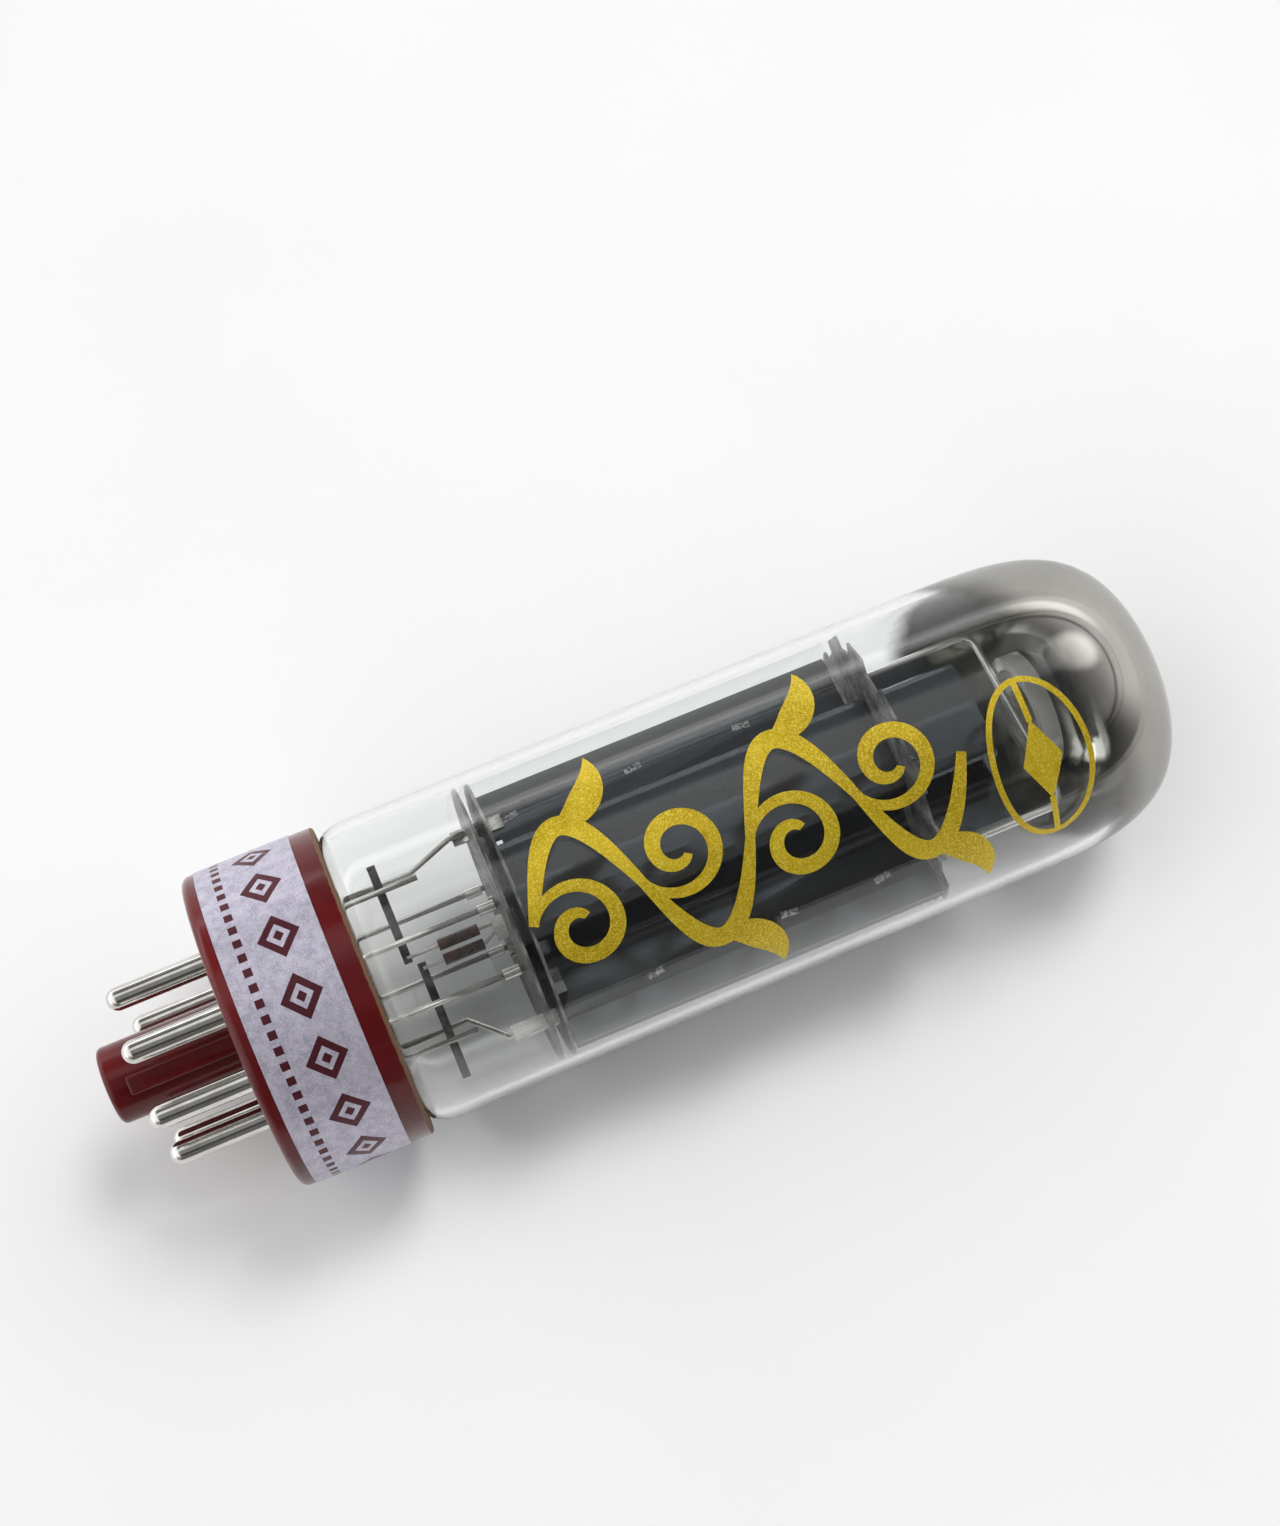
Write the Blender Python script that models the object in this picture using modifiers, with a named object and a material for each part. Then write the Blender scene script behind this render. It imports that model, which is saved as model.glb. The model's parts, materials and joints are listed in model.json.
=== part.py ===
"""Octal-based beam power valve, lying on its side.

The valve is drawn upright about its own axis: its Z runs from the base's seating face (0) to the
top of the bulb, and its X is the side that is uppermost when it lies down. An empty on that axis
then lays it on the ground, on the edge of its label and on its bulb, with its long axis along X.
"""
import math

import bmesh
import bpy
from mathutils import Matrix, Vector

# Driving dimensions in metres. Heights are measured along the axis from the seating face.
SEATED_LENGTH = 0.0980
BULB_RADIUS = 0.0158
BULB_WALL = 0.0010
DOME_LENGTH = 0.0207
DOME_SQUARENESS = 3.4
NECK_DEPTH = 0.0080
SHOULDER_LENGTH = 0.0031

BASE_RADIUS = 0.0163
BASE_HEIGHT = 0.0138
BASE_WALL = 0.0012
CEMENT_THICKNESS = 0.0008
BASE_FLOOR = 0.0026
BASE_LOWER_ROUND = 0.0009
BASE_UPPER_ROUND = 0.0004
SPIGOT_RADIUS = 0.00393
SPIGOT_LENGTH = 0.0137
SPIGOT_WALL = 0.0012
SPIGOT_ROUND = 0.0006
KEY_WIDTH = 0.0019
KEY_HEIGHT = 0.0010
KEY_SETBACK = 0.0022
CEMENT_DEPTH = 0.0060

LABEL_START = 0.0015
LABEL_WIDTH = 0.0098
LABEL_THICKNESS = 0.00006

PIN_CIRCLE_RADIUS = 0.008725
PIN_RADIUS = 0.00118
PIN_LENGTH = 0.0105
PIN_BORE_RADIUS = 0.00062
PIN_BORE_END = 0.0020
PIN_COLLAR_RADIUS = 0.0017
PIN_COLLAR_HEIGHT = 0.0005

STEM_RISE = 0.0032
STEM_THICKNESS = 0.0022
STEM_CROWN = 0.0006
TIP_TUBE_RADIUS = 0.0019
TIP_TUBE_BORE = 0.0011
TIP_TUBE_REACH = 0.0085
LEAD_RADIUS = 0.00031
LEAD_FOOT_GAP = 0.0010
STUB_LEAD_DROP = 0.0064
KINK_DROP = 0.0068
LEAD_SLEEVE_WALL = 0.00022
LEAD_SLEEVE_LENGTH = 0.0017
LEAD_SLEEVE_DROP = 0.0006

MOUNT_TURN = math.radians(-98.0)
BOTTOM_MICA_HEIGHT = 0.0291
MICA_THICKNESS = 0.0003
MICA_SPACING = 0.0013
MICA_RIM_GAP = 0.00025
MICA_TOOTH_DEPTH = 0.0013
MICA_TEETH = 12
MICA_TOOTH_SHARE = 0.46
MICA_FLANK_SHARE = 0.06

ANODE_RIM_GAP = 0.0002
ANODE_SHEET = 0.0003
ANODE_BOX_HALF_WIDTH = 0.0053
ANODE_BOX_HEIGHT = 0.0077
ANODE_BOX_ROUND = 0.0012
ANODE_BOX_CROWN = 0.0005
ANODE_END_GAP = 0.0002
ANODE_LIP_WIDTH = 0.0027
ANODE_LIP_STEP = 0.0004
NOTCH_INSET = 0.0010
NOTCH_WIDTH = 0.0027
NOTCH_DEPTH = 0.0013
TAB_INSET = 0.0036
TAB_WIDTH = 0.0016
TAB_SHEET = 0.0003
TAB_LAP = 0.0020
FAR_TAB_DROP = 0.0016
NEAR_TAB_DROP = 0.0034

CATHODE_RADIUS = 0.00125
CATHODE_WALL = 0.00010
CATHODE_OVERHANG = 0.0012
HEATER_WIRE_RADIUS = 0.00018
HEATER_WALL_GAP = 0.0002
HEATER_END_MARGIN = 0.0015
HEATER_LEG_REACH = 0.0029
HEATER_LEG_ANGLE = math.radians(18.0)
HEATER_LEG_SPREAD = math.radians(15.0)
HEATER_BEND_DROP = 0.0026
HEATER_SLEEVE_WALL = 0.00035
HEATER_SLEEVE_LENGTH = 0.0042
HEATER_STRIP_WIDTH = 0.00085
HEATER_STRIP_SHEET = 0.00015
HEATER_STRIP_LAP = 0.0006
FIRST_STRIP_DROP = 0.0102
SECOND_STRIP_DROP = 0.0091
FIRST_STRIP_RIM_GAP = 0.0035
SECOND_STRIP_RIM_GAP = 0.0021

CONTROL_GRID_SIDE_GAP = 0.00095
CONTROL_GRID_FACE_GAP = 0.00055
SCREEN_GRID_SIDE_GAP = 0.0010
SCREEN_GRID_FACE_GAP = 0.0012
GRID_WIRE_RADIUS = 0.00011
GRID_ROD_RADIUS = 0.00030
GRID_TURNS = 6
GRID_END_MARGIN = 0.0015
BEAM_PLATE_GAP = 0.0007
BEAM_PLATE_HALF_DEPTH = 0.0036
BEAM_PLATE_FOLD = 0.0007
BEAM_PLATE_SHEET = 0.0002

SHIELD_HALF_WIDTH = 0.0099
SHIELD_LENGTH = 0.0094
SHIELD_SHEET = 0.00025
SHIELD_SLOT = 0.0003
BRACKET_RISE = 0.0148
BRACKET_SIDE_GAP = 0.0007
BRACKET_RADIUS = 0.0004
BRACKET_BEND = 0.0016
GETTER_RADIUS = 0.0062
GETTER_HEIGHT = 0.0018
GETTER_TROUGH = 0.0013
GETTER_SHEET = 0.0003
GETTER_HEADROOM = 0.0106
MIRROR_FILM = 0.00006
MIRROR_DEPTH = 0.0138
MIRROR_EDGE_SLOPE = math.radians(17.0)
MIRROR_EDGE_TURN = math.radians(55.0)

PRINT_THICKNESS = 0.00005
VINE_LENGTH = 0.0440
VINE_WAVES = 2
VINE_SWING = 0.0082
VINE_STEM_WIDTH = 0.0021
VINE_STEM_THINNEST = 0.45
VINE_CURL_RADIUS = 0.0046
VINE_CURL_EYE = 0.0012
VINE_CURL_TURNS = 1.3
VINE_CURL_WIDTH = 0.0016
VINE_LEAF_LENGTH = 0.0085
VINE_LEAF_WIDTH = 0.0032
VINE_LEAF_BEND = math.radians(52.0)
VINE_TURN = math.radians(19.0)
MEDALLION_DEPTH = 0.0172
PRINT_GAP = 0.0021
MEDALLION_HALF_LENGTH = 0.0052
MEDALLION_HALF_WIDTH = 0.0086
MEDALLION_LINE = 0.0006
MEDALLION_LOZENGE = 0.0042
MEDALLION_TURN = math.radians(33.0)

# Clearances: between pieces that seat on each other, and between pieces that are bonded.
FIT = 0.0001
BOND = 0.00005

# Facets, and the half facet that turns a flat of each round body to the ground.
BODY_SEGMENTS = 32
RING_SEGMENTS = 24
SMALL_SEGMENTS = 12
WIRE_SIDES = 8
FACET_TURN = math.pi / BODY_SEGMENTS
DOME_STEPS = 7
SHOULDER_STEPS = 3
GRID_STEPS_PER_TURN = 8
STEM_STROKE_STEPS = 25
CURL_STROKE_STEPS = 12
LEAF_STROKE_STEPS = 5
MEDALLION_STEPS = 24
MERGE = 1e-6

# Octal positions run clockwise from the key, seen from below. Position 6 has a lead but no pin.
PIN_PITCH = math.tau / 8
PIN_POSITIONS = (1, 2, 3, 4, 5, 7, 8)
STRAIGHT_LEADS = (1, 4, 5, 8)
KEY_ANGLE = PIN_PITCH / 2

# Heights and radii that follow from the sizes above.
BASE_INNER_RADIUS = BASE_RADIUS - BASE_WALL
SPIGOT_BORE = SPIGOT_RADIUS - SPIGOT_WALL
LABEL_INNER_RADIUS = BASE_RADIUS + BOND
LABEL_RADIUS = LABEL_INNER_RADIUS + LABEL_THICKNESS
LABEL_END = LABEL_START + LABEL_WIDTH
PIN_BORE_BOTTOM = PIN_BORE_END - PIN_LENGTH

NECK_RADIUS = BASE_INNER_RADIUS - CEMENT_THICKNESS
NECK_INNER_RADIUS = NECK_RADIUS - BULB_WALL
BULB_BOTTOM = BASE_HEIGHT - NECK_DEPTH
BULB_INNER_RADIUS = BULB_RADIUS - BULB_WALL
SHOULDER_TOP = BASE_HEIGHT + SHOULDER_LENGTH
DOME_START = SEATED_LENGTH - DOME_LENGTH
MIRROR_EDGE_HEIGHT = SEATED_LENGTH - MIRROR_DEPTH
STEM_HEIGHT = BULB_BOTTOM + STEM_RISE
# An eight-sided wire touches a round hole of its own radius only at its edges.
LEAD_HOLE_RADIUS = LEAD_RADIUS + FIT

GETTER_BOTTOM = SEATED_LENGTH - BULB_WALL - GETTER_HEADROOM - GETTER_HEIGHT
BRACKET_HEIGHT = GETTER_BOTTOM - FIT - BRACKET_RADIUS
TOP_MICA_TOP = BRACKET_HEIGHT - BRACKET_RISE
TOP_MICA_HEIGHT = TOP_MICA_TOP - MICA_THICKNESS
LOWER_MICA_HEIGHT = BOTTOM_MICA_HEIGHT - MICA_SPACING
MICA_RADIUS = BULB_INNER_RADIUS * math.cos(FACET_TURN) - MICA_RIM_GAP
KINK_HEIGHT = LOWER_MICA_HEIGHT - KINK_DROP
STUB_LEAD_HEIGHT = LOWER_MICA_HEIGHT - STUB_LEAD_DROP
HEATER_BEND_HEIGHT = LOWER_MICA_HEIGHT - HEATER_BEND_DROP
FIRST_STRIP_HEIGHT = LOWER_MICA_HEIGHT - FIRST_STRIP_DROP
SECOND_STRIP_HEIGHT = LOWER_MICA_HEIGHT - SECOND_STRIP_DROP

ANODE_BOTTOM = BOTTOM_MICA_HEIGHT + MICA_THICKNESS + ANODE_END_GAP
ANODE_TOP = TOP_MICA_HEIGHT - ANODE_END_GAP
ANODE_HALF_WIDTH = MICA_RADIUS - ANODE_RIM_GAP
ANODE_SEAM = (ANODE_SHEET + BOND) / 2
NOTCH_INNER = ANODE_BOX_HALF_WIDTH + NOTCH_INSET
NOTCH_OUTER = NOTCH_INNER + NOTCH_WIDTH
TAB_PLACE = ANODE_HALF_WIDTH - TAB_INSET
ROD_BOTTOM = LOWER_MICA_HEIGHT - CATHODE_OVERHANG / 2
ROD_TOP = TOP_MICA_TOP + CATHODE_OVERHANG / 2
CATHODE_BOTTOM = LOWER_MICA_HEIGHT - CATHODE_OVERHANG
CATHODE_TOP = TOP_MICA_TOP + CATHODE_OVERHANG
CATHODE_BORE = CATHODE_RADIUS - CATHODE_WALL
CONTROL_GRID_HALF_WIDTH = CATHODE_RADIUS + CONTROL_GRID_SIDE_GAP
CONTROL_GRID_HALF_DEPTH = CATHODE_RADIUS + CONTROL_GRID_FACE_GAP
SCREEN_GRID_HALF_WIDTH = CONTROL_GRID_HALF_WIDTH + SCREEN_GRID_SIDE_GAP
SCREEN_GRID_HALF_DEPTH = CONTROL_GRID_HALF_DEPTH + SCREEN_GRID_FACE_GAP
BEAM_PLATE_PLACE = SCREEN_GRID_HALF_WIDTH + BEAM_PLATE_GAP
BRACKET_HALF_WIDTH = SHIELD_HALF_WIDTH + BRACKET_SIDE_GAP

MEDALLION_HEIGHT = SEATED_LENGTH - MEDALLION_DEPTH
VINE_START = MEDALLION_HEIGHT - MEDALLION_HALF_LENGTH - PRINT_GAP - VINE_LENGTH
VINE_BENDS = 2 * VINE_WAVES


# Scene and materials

def clear_scene():
    for obj in list(bpy.data.objects):
        bpy.data.objects.remove(obj, do_unlink=True)


def collection(name):
    found = bpy.data.collections.get(name)
    if found is None:
        found = bpy.data.collections.new(name)
        bpy.context.scene.collection.children.link(found)
    return found


def material(name, colour, roughness, metallic=0.0, transmission=0.0):
    mat = bpy.data.materials.new(name)
    mat.use_nodes = True
    shader = mat.node_tree.nodes["Principled BSDF"]
    shader.inputs["Base Color"].default_value = (*colour, 1.0)
    shader.inputs["Roughness"].default_value = roughness
    shader.inputs["Metallic"].default_value = metallic
    shader.inputs["Transmission Weight"].default_value = transmission
    mat.diffuse_color = (*colour, 1.0)
    return mat


# Helpers that the sub-parts share

def add(name, data, parent, mat=None, group="vacuum_tube"):
    obj = bpy.data.objects.new(name, data)
    collection(group).objects.link(obj)
    obj.parent = parent
    if mat is not None:
        obj.data.materials.append(mat)
    return obj


def polar(radius, angle, height=0.0):
    return Vector((radius * math.cos(angle), radius * math.sin(angle), height))


def arc(centre, radius, start, end, steps=3):
    """Points of an arc between two angles in degrees, about a centre."""
    points = []
    for i in range(steps + 1):
        angle = math.radians(start + (end - start) * i / steps)
        points.append((centre[0] + radius * math.cos(angle), centre[1] + radius * math.sin(angle)))
    return points


def ring_points(radius, count, x=0.0, y=0.0):
    return arc((x, y), radius, 0.0, 360.0 * (count - 1) / count, count - 1)


def turned(name, profile, parent, mat, segments=BODY_SEGMENTS, closed=False):
    """A turned piece: a profile of (radius, height) points that runs down its outer side."""
    edges = [(i, i + 1) for i in range(len(profile) - 1)]
    if closed:
        edges.append((len(profile) - 1, 0))
    mesh = bpy.data.meshes.new(name)
    mesh.from_pydata([(radius, 0.0, height) for radius, height in profile], edges, [])
    obj = add(name, mesh, parent, mat)
    obj.rotation_euler.z = math.pi / segments
    screw = obj.modifiers.new("Turn", "SCREW")
    screw.steps = screw.render_steps = segments
    screw.use_merge_vertices = True
    screw.merge_threshold = MERGE
    screw.use_smooth_shade = True
    return obj


def wire(name, points, radius, parent, mat, resolution=2):
    """A bent wire or rod with flat ends, through a list of points."""
    curve = bpy.data.curves.new(name, "CURVE")
    curve.dimensions = "3D"
    curve.bevel_depth = radius
    curve.bevel_resolution = resolution
    curve.use_fill_caps = True
    spline = curve.splines.new("POLY")
    spline.points.add(len(points) - 1)
    for point, place in zip(spline.points, points):
        point.co = (*place, 1.0)
    return add(name, curve, parent, mat)


def plate(name, outlines, thickness, parent, mat, group="vacuum_tube"):
    """A flat sheet about its own XY plane: an outer outline, then the outlines of its holes."""
    curve = bpy.data.curves.new(name, "CURVE")
    curve.dimensions = "2D"
    curve.fill_mode = "BOTH"
    curve.extrude = thickness / 2
    for outline in outlines:
        spline = curve.splines.new("POLY")
        spline.points.add(len(outline) - 1)
        spline.use_cyclic_u = True
        for point, (x, y) in zip(spline.points, outline):
            point.co = (x, y, 0.0, 1.0)
    return add(name, curve, parent, mat, group)


def sheet(name, section, bottom, top, thickness, parent, mat, closed=False):
    """A sheet-metal piece: a section of (x, y) points, drawn up the axis and given its gauge."""
    shape = bmesh.new()
    corners = [shape.verts.new((x, y, bottom)) for x, y in section]
    ends = corners[1:] + corners[:1] if closed else corners[1:]
    edges = [shape.edges.new(pair) for pair in zip(corners, ends)]
    raised = bmesh.ops.extrude_edge_only(shape, edges=edges)["geom"]
    lifted = [item for item in raised if isinstance(item, bmesh.types.BMVert)]
    bmesh.ops.translate(shape, verts=lifted, vec=(0.0, 0.0, top - bottom))
    bmesh.ops.recalc_face_normals(shape, faces=shape.faces)
    mesh = bpy.data.meshes.new(name)
    shape.to_mesh(mesh)
    shape.free()
    mesh.shade_smooth()
    mesh.set_sharp_from_angle(angle=math.radians(35.0))
    obj = add(name, mesh, parent, mat)
    gauge = obj.modifiers.new("Gauge", "SOLIDIFY")
    gauge.thickness = thickness
    gauge.offset = 0.0
    gauge.use_even_offset = True
    return obj


def box(name, size, place, parent, mat, group="vacuum_tube"):
    shape = bmesh.new()
    bmesh.ops.create_cube(shape, size=1.0, matrix=Matrix.Diagonal((*size, 1.0)))
    mesh = bpy.data.meshes.new(name)
    shape.to_mesh(mesh)
    shape.free()
    obj = add(name, mesh, parent, mat, group)
    obj.location = place
    return obj


def rod(name, radius, bottom, top, place, parent, mat, group="vacuum_tube", segments=SMALL_SEGMENTS):
    shape = bmesh.new()
    bmesh.ops.create_cone(shape, cap_ends=True, segments=segments, radius1=radius, radius2=radius,
                          depth=top - bottom)
    mesh = bpy.data.meshes.new(name)
    shape.to_mesh(mesh)
    shape.free()
    mesh.shade_smooth()
    mesh.set_sharp_from_angle(angle=math.radians(35.0))
    obj = add(name, mesh, parent, mat, group)
    obj.location = (place[0], place[1], (bottom + top) / 2)
    return obj


def tool(obj):
    """Marks an object as a guide for Boolean modifiers, which isn't a part."""
    obj.hide_render = True
    obj.display_type = "WIRE"
    return obj


def join(obj, other, operation):
    step = obj.modifiers.new(other.name, "BOOLEAN")
    step.operation = operation
    step.object = tool(other)


def as_mesh(obj, group="vacuum_tube"):
    """The evaluated form of an object as a closed mesh object, in its place."""
    bpy.context.view_layer.update()
    evaluated = obj.evaluated_get(bpy.context.evaluated_depsgraph_get())
    mesh = bpy.data.meshes.new_from_object(evaluated)
    shape = bmesh.new()
    shape.from_mesh(mesh)
    bmesh.ops.remove_doubles(shape, verts=shape.verts, dist=MERGE)
    shape.to_mesh(mesh)
    shape.free()
    name = obj.name
    obj.name = name + "_source"
    solid = bpy.data.objects.new(name, mesh)
    collection(group).objects.link(solid)
    solid.parent = obj.parent
    solid.matrix_world = obj.matrix_world
    bpy.data.objects.remove(obj, do_unlink=True)
    return solid


# Base, pins and label

def position_angle(position):
    """The angle about the axis of an octal position, with position 8 uppermost."""
    return position % 8 * PIN_PITCH


def base_profile():
    bore_end = SPIGOT_WALL - SPIGOT_LENGTH
    upper = (BASE_RADIUS - BASE_UPPER_ROUND, BASE_HEIGHT - BASE_UPPER_ROUND)
    lower = (BASE_RADIUS - BASE_LOWER_ROUND, BASE_LOWER_ROUND)
    spigot = (SPIGOT_RADIUS - SPIGOT_ROUND, SPIGOT_ROUND - SPIGOT_LENGTH)
    clear_of_pins = PIN_CIRCLE_RADIUS + PIN_RADIUS + 4 * FIT
    profile = [(0.0, bore_end), (SPIGOT_BORE, bore_end), (SPIGOT_BORE, BASE_FLOOR)]
    profile += [(BASE_INNER_RADIUS, BASE_FLOOR), (BASE_INNER_RADIUS, BASE_HEIGHT)]
    profile += arc(upper, BASE_UPPER_ROUND, 90.0, 0.0, 2)
    profile += arc(lower, BASE_LOWER_ROUND, 0.0, -90.0, 2)
    profile += [(clear_of_pins, 0.0), (SPIGOT_RADIUS, 0.0)]
    profile += arc(spigot, SPIGOT_ROUND, 0.0, -90.0, 2)
    profile += [(0.0, -SPIGOT_LENGTH)]
    return profile


def make_base(tube, mat):
    """Cup, spigot and key are one moulding, with a hole in the floor for each pin."""
    base = turned("base", base_profile(), tube, mat)
    key_inner = SPIGOT_RADIUS - SPIGOT_WALL / 2
    key_outer = SPIGOT_RADIUS + KEY_HEIGHT
    key_length = SPIGOT_LENGTH - KEY_SETBACK + BASE_FLOOR / 2
    size = (key_outer - key_inner, KEY_WIDTH, key_length)
    place = polar((key_inner + key_outer) / 2, KEY_ANGLE, BASE_FLOOR / 2 - key_length / 2)
    key = box("key_shape", size, place, tube, None, "cutters")
    key.rotation_euler.z = KEY_ANGLE
    join(base, key, "UNION")
    for position in PIN_POSITIONS:
        place = polar(PIN_CIRCLE_RADIUS, position_angle(position))
        hole = rod(f"pin_hole_{position}", PIN_RADIUS + BOND, -BASE_FLOOR, 2 * BASE_FLOOR, place, tube,
                   None, "cutters")
        join(base, hole, "DIFFERENCE")


def make_pin(position, tube, mat):
    """A pin is a tube, flared over the base's floor and closed with solder at its round tip."""
    collar_bottom = BASE_FLOOR + BOND
    collar_top = collar_bottom + PIN_COLLAR_HEIGHT
    tip_centre = (0.0, PIN_RADIUS - PIN_LENGTH)
    profile = [(0.0, PIN_BORE_BOTTOM), (PIN_BORE_RADIUS, PIN_BORE_BOTTOM), (PIN_BORE_RADIUS, collar_top)]
    profile += [(PIN_COLLAR_RADIUS, collar_top), (PIN_COLLAR_RADIUS, collar_bottom)]
    profile.append((PIN_RADIUS, collar_bottom))
    profile += arc(tip_centre, PIN_RADIUS, 0.0, -90.0, 2)
    profile[-1] = (0.0, -PIN_LENGTH)
    pin = turned(f"pin_{position}", profile, tube, mat, SMALL_SEGMENTS)
    pin.location = polar(PIN_CIRCLE_RADIUS, position_angle(position))
    # The base's pin holes have an edge straight out along X, as the rod helper makes them.
    pin.rotation_euler.z = 0.0


def make_label(tube, mat):
    profile = [(LABEL_INNER_RADIUS, LABEL_END), (LABEL_RADIUS, LABEL_END)]
    profile += [(LABEL_RADIUS, LABEL_START), (LABEL_INNER_RADIUS, LABEL_START)]
    turned("label_band", profile, tube, mat, closed=True)


def make_cement(tube, mat):
    inner = NECK_RADIUS + BOND
    outer = BASE_INNER_RADIUS - BOND
    top = BASE_HEIGHT - FIT
    bottom = BASE_HEIGHT - CEMENT_DEPTH
    profile = [(inner, top), (outer, top), (outer, bottom), (inner, bottom)]
    turned("cement_ring", profile, tube, mat, closed=True)


# Glass and the getter's mirror film

def dome(radius, length):
    """The dome's profile from its top down to the straight wall, a squared ellipse."""
    points = []
    for i in range(DOME_STEPS + 1):
        angle = math.pi / 2 * (1 - i / DOME_STEPS)
        across = max(math.cos(angle), 0.0) ** (2 / DOME_SQUARENESS)
        along = math.sin(angle) ** (2 / DOME_SQUARENESS)
        points.append((radius * across, DOME_START + length * along))
    points[0] = (0.0, DOME_START + length)
    return points


def shoulder(neck, radius):
    """A quarter ellipse from the straight wall in to the neck."""
    points = []
    for i in range(SHOULDER_STEPS + 1):
        angle = math.pi / 2 * i / SHOULDER_STEPS
        points.append((neck + (radius - neck) * math.cos(angle),
                       SHOULDER_TOP - SHOULDER_LENGTH * math.sin(angle)))
    return points


def bulb_radius_at(height):
    along = max(height - DOME_START, 0.0) / DOME_LENGTH
    return BULB_RADIUS * (1 - along ** DOME_SQUARENESS) ** (1 / DOME_SQUARENESS)


def make_bulb(tube, mat):
    outside = dome(BULB_RADIUS, DOME_LENGTH) + shoulder(NECK_RADIUS, BULB_RADIUS)
    outside.append((NECK_RADIUS, BULB_BOTTOM))
    inside = dome(BULB_INNER_RADIUS, DOME_LENGTH - BULB_WALL) + shoulder(NECK_INNER_RADIUS, BULB_INNER_RADIUS)
    inside.append((NECK_INNER_RADIUS, BULB_BOTTOM))
    turned("bulb", outside + inside[::-1], tube, mat)


def make_stem(tube, mat):
    """The glass button that carries the leads, with the sealed exhaust tube in its middle."""
    # The neck is narrowest at the middle of its facets.
    rim = NECK_INNER_RADIUS * math.cos(FACET_TURN) - BOND
    top = STEM_HEIGHT + STEM_THICKNESS
    bore_end = TIP_TUBE_BORE - TIP_TUBE_REACH + TIP_TUBE_RADIUS / 2
    profile = [(0.0, bore_end), (TIP_TUBE_BORE, bore_end), (TIP_TUBE_BORE, top + STEM_CROWN)]
    profile += [(rim / 2, top + STEM_CROWN), (rim, top), (rim, STEM_HEIGHT), (TIP_TUBE_RADIUS, STEM_HEIGHT)]
    profile += arc((0.0, TIP_TUBE_RADIUS - TIP_TUBE_REACH), TIP_TUBE_RADIUS, 0.0, -90.0, 3)
    profile[-1] = (0.0, -TIP_TUBE_REACH)
    stem = turned("stem", profile, tube, mat, RING_SEGMENTS)
    for position in range(1, 9):
        place = polar(PIN_CIRCLE_RADIUS, position_angle(position))
        hole = rod(f"lead_hole_{position}", LEAD_HOLE_RADIUS, STEM_HEIGHT - STEM_THICKNESS,
                   top + STEM_THICKNESS, place, tube, None, "cutters", WIRE_SIDES)
        join(stem, hole, "DIFFERENCE")


def make_mirror(tube, mat):
    """The film that the getter left inside the dome, down to a slanting edge."""
    profile = dome(BULB_INNER_RADIUS - BOND, DOME_LENGTH - BULB_WALL - BOND)
    reach = BULB_RADIUS * math.tan(MIRROR_EDGE_SLOPE)
    profile.append((BULB_INNER_RADIUS - BOND, MIRROR_EDGE_HEIGHT - 2 * reach))
    shape = bmesh.new()
    line = [shape.verts.new((*polar(radius, FACET_TURN)[:2], height)) for radius, height in profile]
    edges = [shape.edges.new(pair) for pair in zip(line, line[1:])]
    bmesh.ops.spin(shape, geom=line + edges, cent=(0.0, 0.0, 0.0), axis=(0.0, 0.0, 1.0), angle=math.tau,
                   steps=BODY_SEGMENTS)
    bmesh.ops.remove_doubles(shape, verts=shape.verts, dist=MERGE)
    across = polar(-math.sin(MIRROR_EDGE_SLOPE), MIRROR_EDGE_TURN)
    normal = across + Vector((0.0, 0.0, math.cos(MIRROR_EDGE_SLOPE)))
    bmesh.ops.bisect_plane(shape, geom=shape.verts[:] + shape.edges[:] + shape.faces[:], dist=MERGE,
                           plane_co=(0.0, 0.0, MIRROR_EDGE_HEIGHT), plane_no=normal, clear_inner=True)
    bmesh.ops.recalc_face_normals(shape, faces=shape.faces)
    mesh = bpy.data.meshes.new("getter_mirror")
    shape.to_mesh(mesh)
    shape.free()
    mesh.shade_smooth()
    film = add("getter_mirror", mesh, tube, mat)
    gauge = film.modifiers.new("Gauge", "SOLIDIFY")
    gauge.thickness = MIRROR_FILM
    gauge.offset = -1.0


# Stem leads and heater

def mount_point(x, y, height):
    """A point of the electrode mount, in the tube's own frame."""
    turned_point = Matrix.Rotation(MOUNT_TURN, 3, "Z") @ Vector((x, y, 0.0))
    return turned_point + Vector((0.0, 0.0, height))


def tab_face():
    """How far a tab's outer face lies from the seam between the anode's halves."""
    return ANODE_SEAM + ANODE_SHEET / 2 + BOND + TAB_SHEET


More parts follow.
